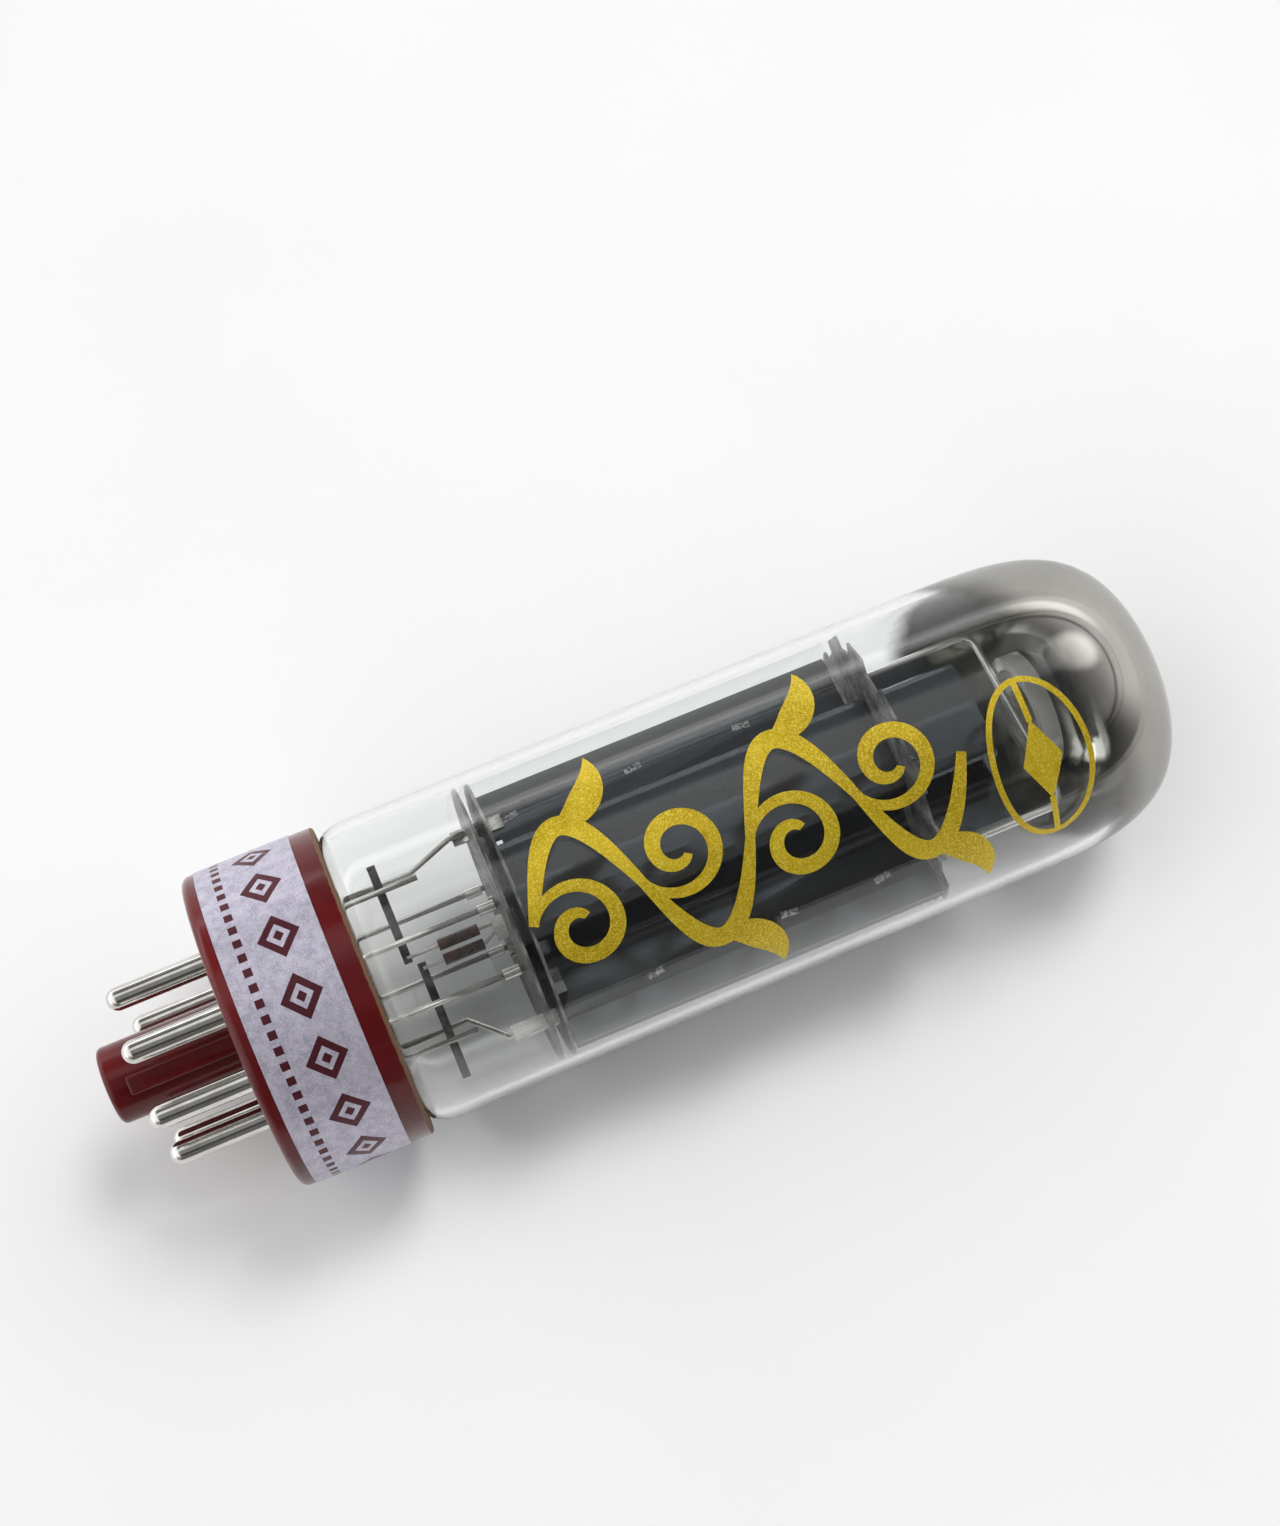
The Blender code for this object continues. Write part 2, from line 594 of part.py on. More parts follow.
def make_leads(tube, mat):
    mica_foot = LOWER_MICA_HEIGHT - FIT
    beside_tab = tab_face() + LEAD_RADIUS + BOND
    far_tab_end = LOWER_MICA_HEIGHT - FAR_TAB_DROP
    near_tab_end = LOWER_MICA_HEIGHT - NEAR_TAB_DROP
    for position in range(1, 9):
        foot = STEM_HEIGHT - STEM_THICKNESS / 2
        if position in PIN_POSITIONS:
            foot = PIN_BORE_BOTTOM + LEAD_FOOT_GAP
        angle = position_angle(position)
        points = [polar(PIN_CIRCLE_RADIUS, angle, foot)]
        if position in STRAIGHT_LEADS:
            points.append(polar(PIN_CIRCLE_RADIUS, angle, mica_foot))
        elif position == 6:
            points.append(polar(PIN_CIRCLE_RADIUS, angle, KINK_HEIGHT))
            points.append(mount_point(TAB_PLACE, beside_tab, far_tab_end - TAB_SHEET))
            points.append(mount_point(TAB_PLACE, beside_tab, mica_foot - FIT))
        elif position == 3:
            points.append(polar(PIN_CIRCLE_RADIUS, angle, KINK_HEIGHT))
            points.append(mount_point(-TAB_PLACE, -beside_tab, near_tab_end - TAB_SHEET))
            points.append(mount_point(-TAB_PLACE, -beside_tab, near_tab_end + TAB_WIDTH))
        else:
            points.append(polar(PIN_CIRCLE_RADIUS, angle, STUB_LEAD_HEIGHT))
        wire(f"lead_{position}", points, LEAD_RADIUS, tube, mat)


def make_lead_sleeves(tube, mat):
    """Short crimped sleeves where the straight leads meet the mica."""
    inner = LEAD_RADIUS + BOND
    outer = inner + LEAD_SLEEVE_WALL
    top = LOWER_MICA_HEIGHT - LEAD_SLEEVE_DROP
    bottom = top - LEAD_SLEEVE_LENGTH
    profile = [(inner, top), (outer, top), (outer, bottom), (inner, bottom)]
    for position in STRAIGHT_LEADS:
        sleeve = turned(f"lead_sleeve_{position}", profile, tube, mat, WIRE_SIDES, closed=True)
        sleeve.location = polar(PIN_CIRCLE_RADIUS, position_angle(position))


def heater_strip_line(position, side):
    """Where a strip runs: its lead, the heater leg it serves, and the way from strip to leg."""
    lead = polar(PIN_CIRCLE_RADIUS, position_angle(position))
    target = polar(HEATER_LEG_REACH, HEATER_LEG_ANGLE + side * HEATER_LEG_SPREAD)
    along = (target - lead).normalized()
    outward = Vector((-along.y, along.x, 0.0))
    if outward.dot(polar(1.0, HEATER_LEG_ANGLE)) < 0.0:
        outward = -outward
    start = lead - outward * (LEAD_RADIUS + BOND + HEATER_STRIP_SHEET / 2)
    end = target - outward * (LEAD_RADIUS + BOND + HEATER_STRIP_SHEET / 2)
    return start, end, along, outward


def make_heater_strip(name, position, side, height, rim_gap, tube, mat):
    start, end, along, _ = heater_strip_line(position, side)
    start = start - along * (BULB_INNER_RADIUS - rim_gap - PIN_CIRCLE_RADIUS)
    end = end + along * HEATER_STRIP_LAP
    middle = (start + end) / 2
    size = ((end - start).length, HEATER_STRIP_SHEET, HEATER_STRIP_WIDTH)
    strip = box(name, size, (middle.x, middle.y, height), tube, mat)
    strip.rotation_euler.z = math.atan2(along.y, along.x)


def leg_place(position, side):
    _, end, _, outward = heater_strip_line(position, side)
    return end + outward * (HEATER_STRIP_SHEET / 2 + BOND + HEATER_WIRE_RADIUS)


def make_heater(tube, wire_mat, sleeve_mat):
    """Four strands folded inside the cathode, with two legs down to the strips from the heater pins."""
    # The cathode's bore is narrowest at the middle of its facets.
    clear = CATHODE_BORE * math.cos(math.pi / SMALL_SEGMENTS) - HEATER_WALL_GAP
    offset = (clear - HEATER_WIRE_RADIUS) / math.sqrt(2.0)
    top = CATHODE_TOP - HEATER_END_MARGIN
    low = CATHODE_BOTTOM + HEATER_END_MARGIN
    mouth = CATHODE_BOTTOM - HEATER_WIRE_RADIUS
    first = leg_place(7, -1)
    second = leg_place(2, 1)
    points = [(first.x, first.y, FIRST_STRIP_HEIGHT), (first.x, first.y, HEATER_BEND_HEIGHT)]
    points += [(offset, -offset, mouth), (offset, -offset, top), (-offset, -offset, top)]
    points += [(-offset, -offset, low), (-offset, offset, low), (-offset, offset, top)]
    points += [(offset, offset, top), (offset, offset, mouth)]
    points += [(second.x, second.y, HEATER_BEND_HEIGHT), (second.x, second.y, SECOND_STRIP_HEIGHT)]
    wire("heater", points, HEATER_WIRE_RADIUS, tube, wire_mat)
    inner = HEATER_WIRE_RADIUS + BOND
    outer = inner + HEATER_SLEEVE_WALL
    top = HEATER_BEND_HEIGHT - FIT
    bottom = top - HEATER_SLEEVE_LENGTH
    profile = [(inner, top), (outer, top), (outer, bottom), (inner, bottom)]
    for name, place in (("heater_sleeve_first", first), ("heater_sleeve_second", second)):
        sleeve = turned(name, profile, tube, sleeve_mat, WIRE_SIDES, closed=True)
        sleeve.location = place


# Electrode mount, between the micas

def toothed_outline():
    """A mica's outer edge, with square teeth that grip the bulb."""
    tip = MICA_TOOTH_SHARE / 2
    root = tip + MICA_FLANK_SHARE
    root_radius = MICA_RADIUS - MICA_TOOTH_DEPTH
    corners = ((-tip, MICA_RADIUS), (tip, MICA_RADIUS), (root, root_radius), (1 - root, root_radius))
    outline = []
    for i in range(MICA_TEETH):
        for share, radius in corners:
            point = polar(radius, math.tau * (i + share) / MICA_TEETH)
            outline.append((point.x, point.y))
    return outline


def mica_holes():
    holes = [ring_points(CATHODE_RADIUS + FIT, SMALL_SEGMENTS)]
    for half_width in (CONTROL_GRID_HALF_WIDTH, SCREEN_GRID_HALF_WIDTH):
        for x in (-half_width, half_width):
            holes.append(ring_points(GRID_ROD_RADIUS + FIT, SMALL_SEGMENTS // 2, x))
    return holes


def tab_slot(side):
    """The slot in a mica for one anode tab."""
    x = side * TAB_PLACE
    y = side * (tab_face() - TAB_SHEET / 2)
    half_x = TAB_WIDTH / 2 + FIT
    half_y = TAB_SHEET / 2 + FIT
    return [(x - half_x, y - half_y), (x + half_x, y - half_y),
            (x + half_x, y + half_y), (x - half_x, y + half_y)]


def make_micas(mount, mat):
    plain = ring_points(MICA_RADIUS, BODY_SEGMENTS)
    slots = [tab_slot(1), tab_slot(-1)]
    for name, height, outline, extra in (
        ("lower_mica", LOWER_MICA_HEIGHT, plain, slots),
        ("bottom_mica", BOTTOM_MICA_HEIGHT, plain, slots),
        ("top_mica", TOP_MICA_HEIGHT, toothed_outline(), []),
    ):
        disc = plate(name, [outline] + mica_holes() + extra, MICA_THICKNESS, mount, mat)
        disc.location.z = height + MICA_THICKNESS / 2


def anode_section(half_width, seam, lip):
    """Half of a boxed section: a crowned box in the middle and a flat wing on each side."""
    box_top = ANODE_BOX_HEIGHT - ANODE_BOX_CROWN
    corner = (ANODE_BOX_HALF_WIDTH - ANODE_BOX_ROUND, box_top - ANODE_BOX_ROUND)
    right = [(0.0, ANODE_BOX_HEIGHT), (ANODE_BOX_HALF_WIDTH / 2, ANODE_BOX_HEIGHT - ANODE_BOX_CROWN / 3)]
    right += arc(corner, ANODE_BOX_ROUND, 80.0, 0.0, 3)
    right += [(ANODE_BOX_HALF_WIDTH, seam + ANODE_LIP_STEP), (ANODE_BOX_HALF_WIDTH + ANODE_LIP_STEP, seam)]
    if lip:
        fold = half_width - ANODE_LIP_WIDTH
        right += [(fold, seam), (fold + ANODE_LIP_STEP, seam + ANODE_LIP_STEP)]
        seam += ANODE_LIP_STEP
    right.append((half_width, seam))
    return [(-x, y) for x, y in right[:0:-1]] + right


def make_anode(mount, mat):
    """Two folded halves, wing to wing, with a notch in one end of each wing."""
    section = anode_section(ANODE_HALF_WIDTH, ANODE_SEAM, True)
    for name, side in (("anode_upper_half", 1), ("anode_lower_half", -1)):
        folded = [(x, side * y) for x, y in section]
        half = sheet(name, folded, ANODE_BOTTOM, ANODE_TOP, ANODE_SHEET, mount, mat)
        for end in (-1, 1):
            size = (NOTCH_OUTER - NOTCH_INNER, 6 * ANODE_SHEET, 2 * NOTCH_DEPTH)
            place = (end * (NOTCH_INNER + NOTCH_OUTER) / 2, 0.0, ANODE_BOTTOM)
            join(half, box(f"{name}_notch", size, place, mount, None, "cutters"), "DIFFERENCE")


def make_tabs(mount, mat):
    top = ANODE_BOTTOM + TAB_LAP
    for name, side, drop in (("anode_tab_far", 1, FAR_TAB_DROP), ("anode_tab_near", -1, NEAR_TAB_DROP)):
        bottom = LOWER_MICA_HEIGHT - drop
        place = (side * TAB_PLACE, side * (tab_face() - TAB_SHEET / 2), (top + bottom) / 2)
        box(name, (TAB_WIDTH, TAB_SHEET, top - bottom), place, mount, mat)


def make_cathode(mount, mat):
    profile = [(CATHODE_BORE, CATHODE_TOP), (CATHODE_RADIUS, CATHODE_TOP)]
    profile += [(CATHODE_RADIUS, CATHODE_BOTTOM), (CATHODE_BORE, CATHODE_BOTTOM)]
    turned("cathode", profile, mount, mat, SMALL_SEGMENTS, closed=True)


def make_grid(name, half_width, half_depth, mount, mat):
    """A flattened helix wound on two rods and welded to them."""
    bottom = ANODE_BOTTOM + GRID_END_MARGIN
    rise = ANODE_TOP - ANODE_BOTTOM - 2 * GRID_END_MARGIN
    steps = GRID_TURNS * GRID_STEPS_PER_TURN
    points = []
    for i in range(steps + 1):
        angle = math.tau * i / GRID_STEPS_PER_TURN
        height = bottom + rise * i / steps
        points.append((half_width * math.cos(angle), half_depth * math.sin(angle), height))
    grid = as_mesh(wire(name, points, GRID_WIRE_RADIUS, mount, mat, resolution=0))
    for x in (-half_width, half_width):
        support = rod(f"{name}_rod", GRID_ROD_RADIUS, ROD_BOTTOM, ROD_TOP, (x, 0.0), mount, None, "cutters",
                      WIRE_SIDES)
        join(grid, support, "UNION")


def make_beam_plates(mount, mat):
    for name, side in (("beam_plate_far", 1), ("beam_plate_near", -1)):
        edge = BEAM_PLATE_PLACE - BEAM_PLATE_FOLD
        depth = BEAM_PLATE_HALF_DEPTH
        fold = depth - BEAM_PLATE_FOLD
        section = [(edge, -depth), (BEAM_PLATE_PLACE, -fold), (BEAM_PLATE_PLACE, fold), (edge, depth)]
        folded = [(side * x, y) for x, y in section]
        sheet(name, folded, ANODE_BOTTOM, ANODE_TOP, BEAM_PLATE_SHEET, mount, mat)


# What stands on the top mica

def make_shield(mount, mat):
    upper = anode_section(SHIELD_HALF_WIDTH, SHIELD_SLOT, False)
    section = upper + [(x, -y) for x, y in reversed(upper)]
    bottom = TOP_MICA_TOP + FIT
    sheet("top_shield", section, bottom, bottom + SHIELD_LENGTH, SHIELD_SHEET, mount, mat, closed=True)


def make_bracket(mount, mat):
    """The getter's bracket, a wire bent to a U across the top mica."""
    foot = TOP_MICA_TOP + FIT
    across = BRACKET_HALF_WIDTH - BRACKET_BEND
    turn = BRACKET_HEIGHT - BRACKET_BEND
    right = [(x, 0.0, z) for x, z in arc((across, turn), BRACKET_BEND, 0.0, 90.0, 3)]
    left = [(-x, y, z) for x, y, z in reversed(right)]
    points = [(BRACKET_HALF_WIDTH, 0.0, foot)] + right + left + [(-BRACKET_HALF_WIDTH, 0.0, foot)]
    wire("getter_bracket", points, BRACKET_RADIUS, mount, mat)


def make_getter(mount, mat):
    top = GETTER_BOTTOM + GETTER_HEIGHT
    inner = GETTER_RADIUS - GETTER_TROUGH
    floor = GETTER_BOTTOM + GETTER_SHEET
    profile = [(GETTER_RADIUS, top), (GETTER_RADIUS, GETTER_BOTTOM), (inner, GETTER_BOTTOM), (inner, top)]
    profile += [(inner + GETTER_SHEET, top), (inner + GETTER_SHEET, floor)]
    profile += [(GETTER_RADIUS - GETTER_SHEET, floor), (GETTER_RADIUS - GETTER_SHEET, top)]
    turned("getter_ring", profile, mount, mat, RING_SEGMENTS, closed=True)


# Gold print on the bulb, drawn flat and then bent onto the glass

def ribbon(centre_line, widths):
    """The outline of a stroke: its centre line, widened by half of each width to both sides."""
    left = []
    right = []
    last = len(centre_line) - 1
    for i, (point, width) in enumerate(zip(centre_line, widths)):
        ahead = Vector(centre_line[min(i + 1, last)]) - Vector(centre_line[max(i - 1, 0)])
        side = Vector((-ahead.y, ahead.x)).normalized() * width / 2
        left.append(tuple(Vector(point) + side))
        right.append(tuple(Vector(point) - side))
    return left + right[::-1]


def vine_stem():
    centre_line = []
    widths = []
    for i in range(STEM_STROKE_STEPS + 1):
        along = i / STEM_STROKE_STEPS
        swing = math.sin(math.tau * VINE_WAVES * along)
        centre_line.append((VINE_START + VINE_LENGTH * along, VINE_SWING * swing))
        widths.append(VINE_STEM_WIDTH * (VINE_STEM_THINNEST + (1 - VINE_STEM_THINNEST) * abs(swing)))
    return ribbon(centre_line, widths)


def vine_curl(index):
    """A spiral that leaves the stem where it crosses the middle and fills the bend after it."""
    side = 1 if index % 2 == 0 else -1
    start = VINE_START + VINE_LENGTH * index / VINE_BENDS
    slope = math.atan(math.tau * VINE_WAVES * VINE_SWING / VINE_LENGTH)
    centre = (start + VINE_CURL_RADIUS * math.sin(slope), -side * VINE_CURL_RADIUS * math.cos(slope))
    centre_line = []
    widths = []
    for i in range(CURL_STROKE_STEPS + 1):
        along = i / CURL_STROKE_STEPS
        radius = VINE_CURL_RADIUS + (VINE_CURL_EYE - VINE_CURL_RADIUS) * along
        angle = math.pi / 2 + slope - math.tau * VINE_CURL_TURNS * along
        centre_line.append((centre[0] + radius * math.cos(angle),
                            centre[1] + side * radius * math.sin(angle)))
        widths.append(VINE_CURL_WIDTH * (0.5 + 0.5 * math.sin(math.pi * along)))
    return ribbon(centre_line, widths)


def vine_leaf(index):
    """A pointed leaf on the outside of a bend."""
    side = 1 if index % 2 == 0 else -1
    foot = (VINE_START + VINE_LENGTH * (index + 0.5) / VINE_BENDS, side * VINE_SWING)
    centre_line = []
    widths = []
    for i in range(LEAF_STROKE_STEPS + 1):
        along = i / LEAF_STROKE_STEPS
        reach = VINE_LEAF_LENGTH * along
        bend = VINE_LEAF_BEND * along
        centre_line.append((foot[0] + reach * math.cos(bend), foot[1] + side * reach * math.sin(bend)))
        widths.append(VINE_LEAF_WIDTH * math.sin(math.pi * (0.08 + 0.9 * along)))
    return ribbon(centre_line, widths)


def bend_onto_bulb(obj, turn):
    """Lays a flat solid on the glass: X goes along the axis, Y backward around it and Z outward.

    Its triangles dip between their corners, so it stands off by a fit and not by a bond.
    """
    mesh = obj.data
    shape = bmesh.new()
    shape.from_mesh(mesh)
    bmesh.ops.triangulate(shape, faces=shape.faces)
    for vert in shape.verts:
        height = vert.co.x
        radius = bulb_radius_at(height) + FIT + PRINT_THICKNESS / 2 + vert.co.z
        vert.co = polar(radius, turn - vert.co.y / BULB_RADIUS, height)
    shape.to_mesh(mesh)
    shape.free()


def make_print(name, strokes, turn, tube, mat):
    """One printed figure: flat strokes fused into one body, then bent onto the bulb."""
    pieces = []
    for i, outlines in enumerate(strokes):
        flat = plate(f"{name}_stroke_{i}", outlines, PRINT_THICKNESS, tube, None, "cutters")
        pieces.append(as_mesh(flat, "cutters"))
    figure = pieces[0]
    for other in pieces[1:]:
        join(figure, other, "UNION")
    figure = as_mesh(figure)
    figure.name = name
    figure.data.materials.clear()
    figure.data.materials.append(mat)
    for other in pieces[1:]:
        bpy.data.objects.remove(other, do_unlink=True)
    bend_onto_bulb(figure, turn)


def make_vine(tube, mat):
    strokes = [[vine_stem()]]
    strokes += [[vine_curl(i)] for i in range(VINE_BENDS)]
    strokes += [[vine_leaf(i)] for i in range(VINE_BENDS)]
    make_print("gold_vine_print", strokes, VINE_TURN, tube, mat)


def medallion_ring(inset):
    points = []
    for x, y in ring_points(1.0, MEDALLION_STEPS):
        points.append((MEDALLION_HEIGHT + (MEDALLION_HALF_LENGTH - inset) * x,
                       (MEDALLION_HALF_WIDTH - inset) * y))
    return points


def make_medallion(tube, mat):
    """An oval line round a lozenge, which two fine bars hold to it."""
    half = MEDALLION_LOZENGE / 2
    bar = MEDALLION_LINE / 2
    reach = MEDALLION_HALF_WIDTH - bar
    # Long straight sides get a point in their middle, where they bend round the glass.
    corners = [(half, 0.0), (half / 2, half), (0.0, 2 * half), (-half / 2, half)]
    lozenge = [(MEDALLION_HEIGHT + x, y) for x, y in corners + [(-x, -y) for x, y in corners]]
    band = [(MEDALLION_HEIGHT - bar, -reach), (MEDALLION_HEIGHT + bar, -reach)]
    band += [(MEDALLION_HEIGHT + bar, reach), (MEDALLION_HEIGHT - bar, reach)]
    strokes = [[medallion_ring(0.0), medallion_ring(MEDALLION_LINE)], [lozenge], [band]]
    make_print("gold_medallion_print", strokes, MEDALLION_TURN, tube, mat)


# Laying the valve down

def rest_tilt():
    """How far the axis dips toward the dome when the label's edge and the bulb touch the ground."""
    flat = math.cos(FACET_TURN)
    slopes = []
    for radius, height in ((LABEL_RADIUS, LABEL_END), (BASE_RADIUS, BASE_HEIGHT - BASE_UPPER_ROUND)):
        slopes.append(max((r - radius) * flat / (z - height) for r, z in dome(BULB_RADIUS, DOME_LENGTH)))
    return -math.atan(min(slopes))


def lay_down(tube):
    """Turns the axis level along X and stands the lowest point on the ground, centred on Z."""
    tube.rotation_euler = (0.0, -(math.pi / 2 + rest_tilt()), math.pi)
    bpy.context.view_layer.update()
    depsgraph = bpy.context.evaluated_depsgraph_get()
    corners = []
    for obj in collection("vacuum_tube").objects:
        if obj.type in {"MESH", "CURVE"}:
            evaluated = obj.evaluated_get(depsgraph)
            mesh = evaluated.to_mesh()
            corners += [evaluated.matrix_world @ vert.co for vert in mesh.vertices]
            evaluated.to_mesh_clear()
    low = [min(corner[i] for corner in corners) for i in range(3)]
    high = [max(corner[i] for corner in corners) for i in range(3)]
    tube.location = (-(low[0] + high[0]) / 2, -(low[1] + high[1]) / 2, -low[2])


def build():
    clear_scene()
    moulding = material("maroon_moulding", (0.16, 0.012, 0.014), 0.30)
    label_film = material("lilac_label_film", (0.56, 0.53, 0.60), 0.42, metallic=0.35)
    cement = material("brown_cement", (0.30, 0.17, 0.09), 0.80)
    plated = material("plated_pin", (0.80, 0.79, 0.75), 0.16, metallic=1.0)
    glass = material("clear_glass", (0.96, 0.98, 0.97), 0.02, transmission=1.0)
    mirror = material("getter_film", (0.42, 0.39, 0.35), 0.10, metallic=1.0)
    nickel = material("bright_nickel", (0.66, 0.65, 0.61), 0.25, metallic=1.0)
    carbonised = material("carbonised_anode", (0.055, 0.060, 0.065), 0.40, metallic=0.4)
    mica_sheet = material("grey_mica", (0.55, 0.55, 0.53), 0.35)
    oxide = material("oxide_coated_nickel", (0.80, 0.79, 0.76), 0.60)
    tungsten = material("coated_heater_wire", (0.75, 0.73, 0.70), 0.50)
    ceramic = material("brown_ceramic", (0.22, 0.09, 0.06), 0.45)
    dark_steel = material("dark_steel_strip", (0.10, 0.10, 0.09), 0.45, metallic=0.8)
    gold_ink = material("gold_ink", (0.62, 0.47, 0.05), 0.38, metallic=0.45)

    tube = add("tube_axis", None, None)
    mount = add("electrode_mount", None, tube)
    mount.rotation_euler.z = MOUNT_TURN

    make_base(tube, moulding)
    for position in PIN_POSITIONS:
        make_pin(position, tube, plated)
    make_label(tube, label_film)
    make_cement(tube, cement)
    make_bulb(tube, glass)
    make_stem(tube, glass)
    make_mirror(tube, mirror)
    make_leads(tube, nickel)
    make_lead_sleeves(tube, nickel)
    make_heater_strip("heater_strip_first", 7, -1, FIRST_STRIP_HEIGHT, FIRST_STRIP_RIM_GAP, tube, dark_steel)
    make_heater_strip("heater_strip_second", 2, 1, SECOND_STRIP_HEIGHT, SECOND_STRIP_RIM_GAP, tube,
                      dark_steel)
    make_heater(tube, tungsten, ceramic)
    make_micas(mount, mica_sheet)
    make_anode(mount, carbonised)
    make_tabs(mount, nickel)
    make_cathode(mount, oxide)
    make_grid("control_grid", CONTROL_GRID_HALF_WIDTH, CONTROL_GRID_HALF_DEPTH, mount, nickel)
    make_grid("screen_grid", SCREEN_GRID_HALF_WIDTH, SCREEN_GRID_HALF_DEPTH, mount, nickel)
    make_beam_plates(mount, carbonised)
    make_shield(mount, carbonised)
    make_bracket(mount, nickel)
    make_getter(mount, nickel)
    make_vine(tube, gold_ink)
    make_medallion(tube, gold_ink)
    lay_down(tube)


build()
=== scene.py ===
# %% [markdown]
# A beam power valve lies on a white table. The imported CAD model is loaded first, as a fixed frame: every
# piece below is fitted to it, and its box is kept.

# %% Load the valve
import json
import math

import bpy
from mathutils import Euler, Matrix, Vector

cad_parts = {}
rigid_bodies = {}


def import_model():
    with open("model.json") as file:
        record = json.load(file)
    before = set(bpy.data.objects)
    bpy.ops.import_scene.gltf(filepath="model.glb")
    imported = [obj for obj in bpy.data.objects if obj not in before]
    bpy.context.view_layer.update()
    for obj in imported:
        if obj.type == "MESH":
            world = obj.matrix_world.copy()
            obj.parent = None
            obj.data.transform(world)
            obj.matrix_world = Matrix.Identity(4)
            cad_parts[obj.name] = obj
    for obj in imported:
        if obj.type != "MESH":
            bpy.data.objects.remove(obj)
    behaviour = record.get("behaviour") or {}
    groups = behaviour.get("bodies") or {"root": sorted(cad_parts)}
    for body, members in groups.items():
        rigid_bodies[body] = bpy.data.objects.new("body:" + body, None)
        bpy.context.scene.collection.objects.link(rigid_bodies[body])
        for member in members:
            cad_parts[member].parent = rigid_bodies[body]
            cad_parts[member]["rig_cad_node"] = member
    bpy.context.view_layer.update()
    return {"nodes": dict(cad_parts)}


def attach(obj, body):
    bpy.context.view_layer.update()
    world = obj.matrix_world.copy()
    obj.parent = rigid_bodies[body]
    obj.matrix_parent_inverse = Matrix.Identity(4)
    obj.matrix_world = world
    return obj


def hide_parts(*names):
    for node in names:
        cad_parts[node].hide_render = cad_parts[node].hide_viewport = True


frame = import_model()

# %% [markdown]
# The valve was drawn upright about its own axis and then laid down. Each round piece is easiest to make
# upright too, so one matrix is kept that lays a finished piece down where the CAD model lies: its Z becomes
# the valve's axis, and its X the side that is uppermost.

# %% The valve's own axis
SEAT = Vector((-0.042133, 0.0, 0.0164342))
LYING = Euler((0.0, -1.579994, math.pi)).to_matrix()
TUBE = Matrix.Translation(SEAT) @ LYING.to_4x4()
print("The axis points toward", [round(v, 4) for v in TUBE.to_3x3() @ Vector((0.0, 0.0, 1.0))])

# %% [markdown]
# These are the sizes that the round pieces share, all in metres. Heights run along the axis from the
# base's seating face. The CAD bodies have 32 facets and lie on a flat one, so a smooth round body takes the
# radius at the middle of a facet: any larger and it would sink into the table.

# %% Sizes from the CAD model
FACET = math.cos(math.pi / 32)
BASE_RADIUS = 0.0163 * FACET
BASE_HEIGHT = 0.0138
BULB_RADIUS = 0.0158 * FACET
BULB_WALL = 0.0010
NECK_RADIUS = 0.0143 * FACET
BULB_BOTTOM = 0.0058
SHOULDER_TOP = 0.0169
DOME_START = 0.0773
DOME_TOP = 0.0980
DOME_SQUARENESS = 3.4
PIN_CIRCLE = 0.008725
print("Bulb", round(2000 * BULB_RADIUS, 1), "mm across, base", round(2000 * BASE_RADIUS, 1), "mm across")

# %% [markdown]
# Blender's operators act on whatever is selected, so a piece is always picked out first. A finished piece
# has its place in its mesh and rides on the CAD body. `settle` does both, and hides the nodes it replaces.

# %% Picking and settling pieces
def clear_selection():
    if bpy.context.object and bpy.context.object.mode != "OBJECT":
        bpy.ops.object.mode_set(mode="OBJECT")
    bpy.ops.object.select_all(action="DESELECT")


def pick(*objects):
    clear_selection()
    for thing in objects:
        thing.select_set(True)
    bpy.context.view_layer.objects.active = objects[-1]


def settle(piece, finish, nodes=(), lay=TUBE):
    piece.matrix_world = lay @ piece.matrix_world
    pick(piece)
    bpy.ops.object.transform_apply(location=True, rotation=True, scale=True)
    piece.data.materials.clear()
    piece.data.materials.append(finish)
    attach(piece, "root")
    if nodes:
        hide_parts(*nodes)
    print(piece.name, "has", len(piece.data.polygons), "faces")


# %% [markdown]
# Most of a valve is turned or blown round: base, pins, bulb, label. `lathe` makes such a piece the way a
# lathe does. A ring of vertices is placed on the outline, opened where the outline ends, and spun once
# round the axis. The doubles where the spin closes are merged, and the normals are turned outward.

# %% A lathe for round pieces
MERGE_DISTANCE = 1e-6
SHARP_FOLD = math.radians(35.0)


def lathe(name, outline, steps, closed=False):
    clear_selection()
    bpy.ops.mesh.primitive_circle_add(vertices=len(outline), fill_type="NOTHING")
    piece = bpy.context.object
    piece.name = piece.data.name = name
    for vertex, (radius, height) in zip(piece.data.vertices, outline):
        vertex.co = (radius, 0.0, height)
    ends = {0, len(outline) - 1}
    for vertex in piece.data.vertices:
        vertex.select = vertex.index in ends
    for edge in piece.data.edges:
        edge.select = set(edge.vertices) == ends
    bpy.ops.object.mode_set(mode="EDIT")
    bpy.ops.mesh.select_mode(type="EDGE")
    if not closed:
        bpy.ops.mesh.delete(type="EDGE")
    bpy.ops.mesh.select_mode(type="VERT")
    bpy.ops.mesh.select_all(action="SELECT")
    bpy.ops.mesh.spin(steps=steps, angle=math.tau, center=(0.0, 0.0, 0.0), axis=(0.0, 0.0, 1.0))
    bpy.ops.mesh.select_all(action="SELECT")
    bpy.ops.mesh.remove_doubles(threshold=MERGE_DISTANCE)
    bpy.ops.mesh.normals_make_consistent(inside=False)
    bpy.ops.object.mode_set(mode="OBJECT")
    bpy.ops.object.shade_smooth_by_angle(angle=SHARP_FOLD)
    return piece


def arc(centre, radius, start, end, steps):
    """Points of a round from a start angle to an end angle, in degrees."""
    points = []
    for i in range(steps + 1):
        angle = math.radians(start + (end - start) * i / steps)
        points.append((centre[0] + radius * math.cos(angle), centre[1] + radius * math.sin(angle)))
    return points


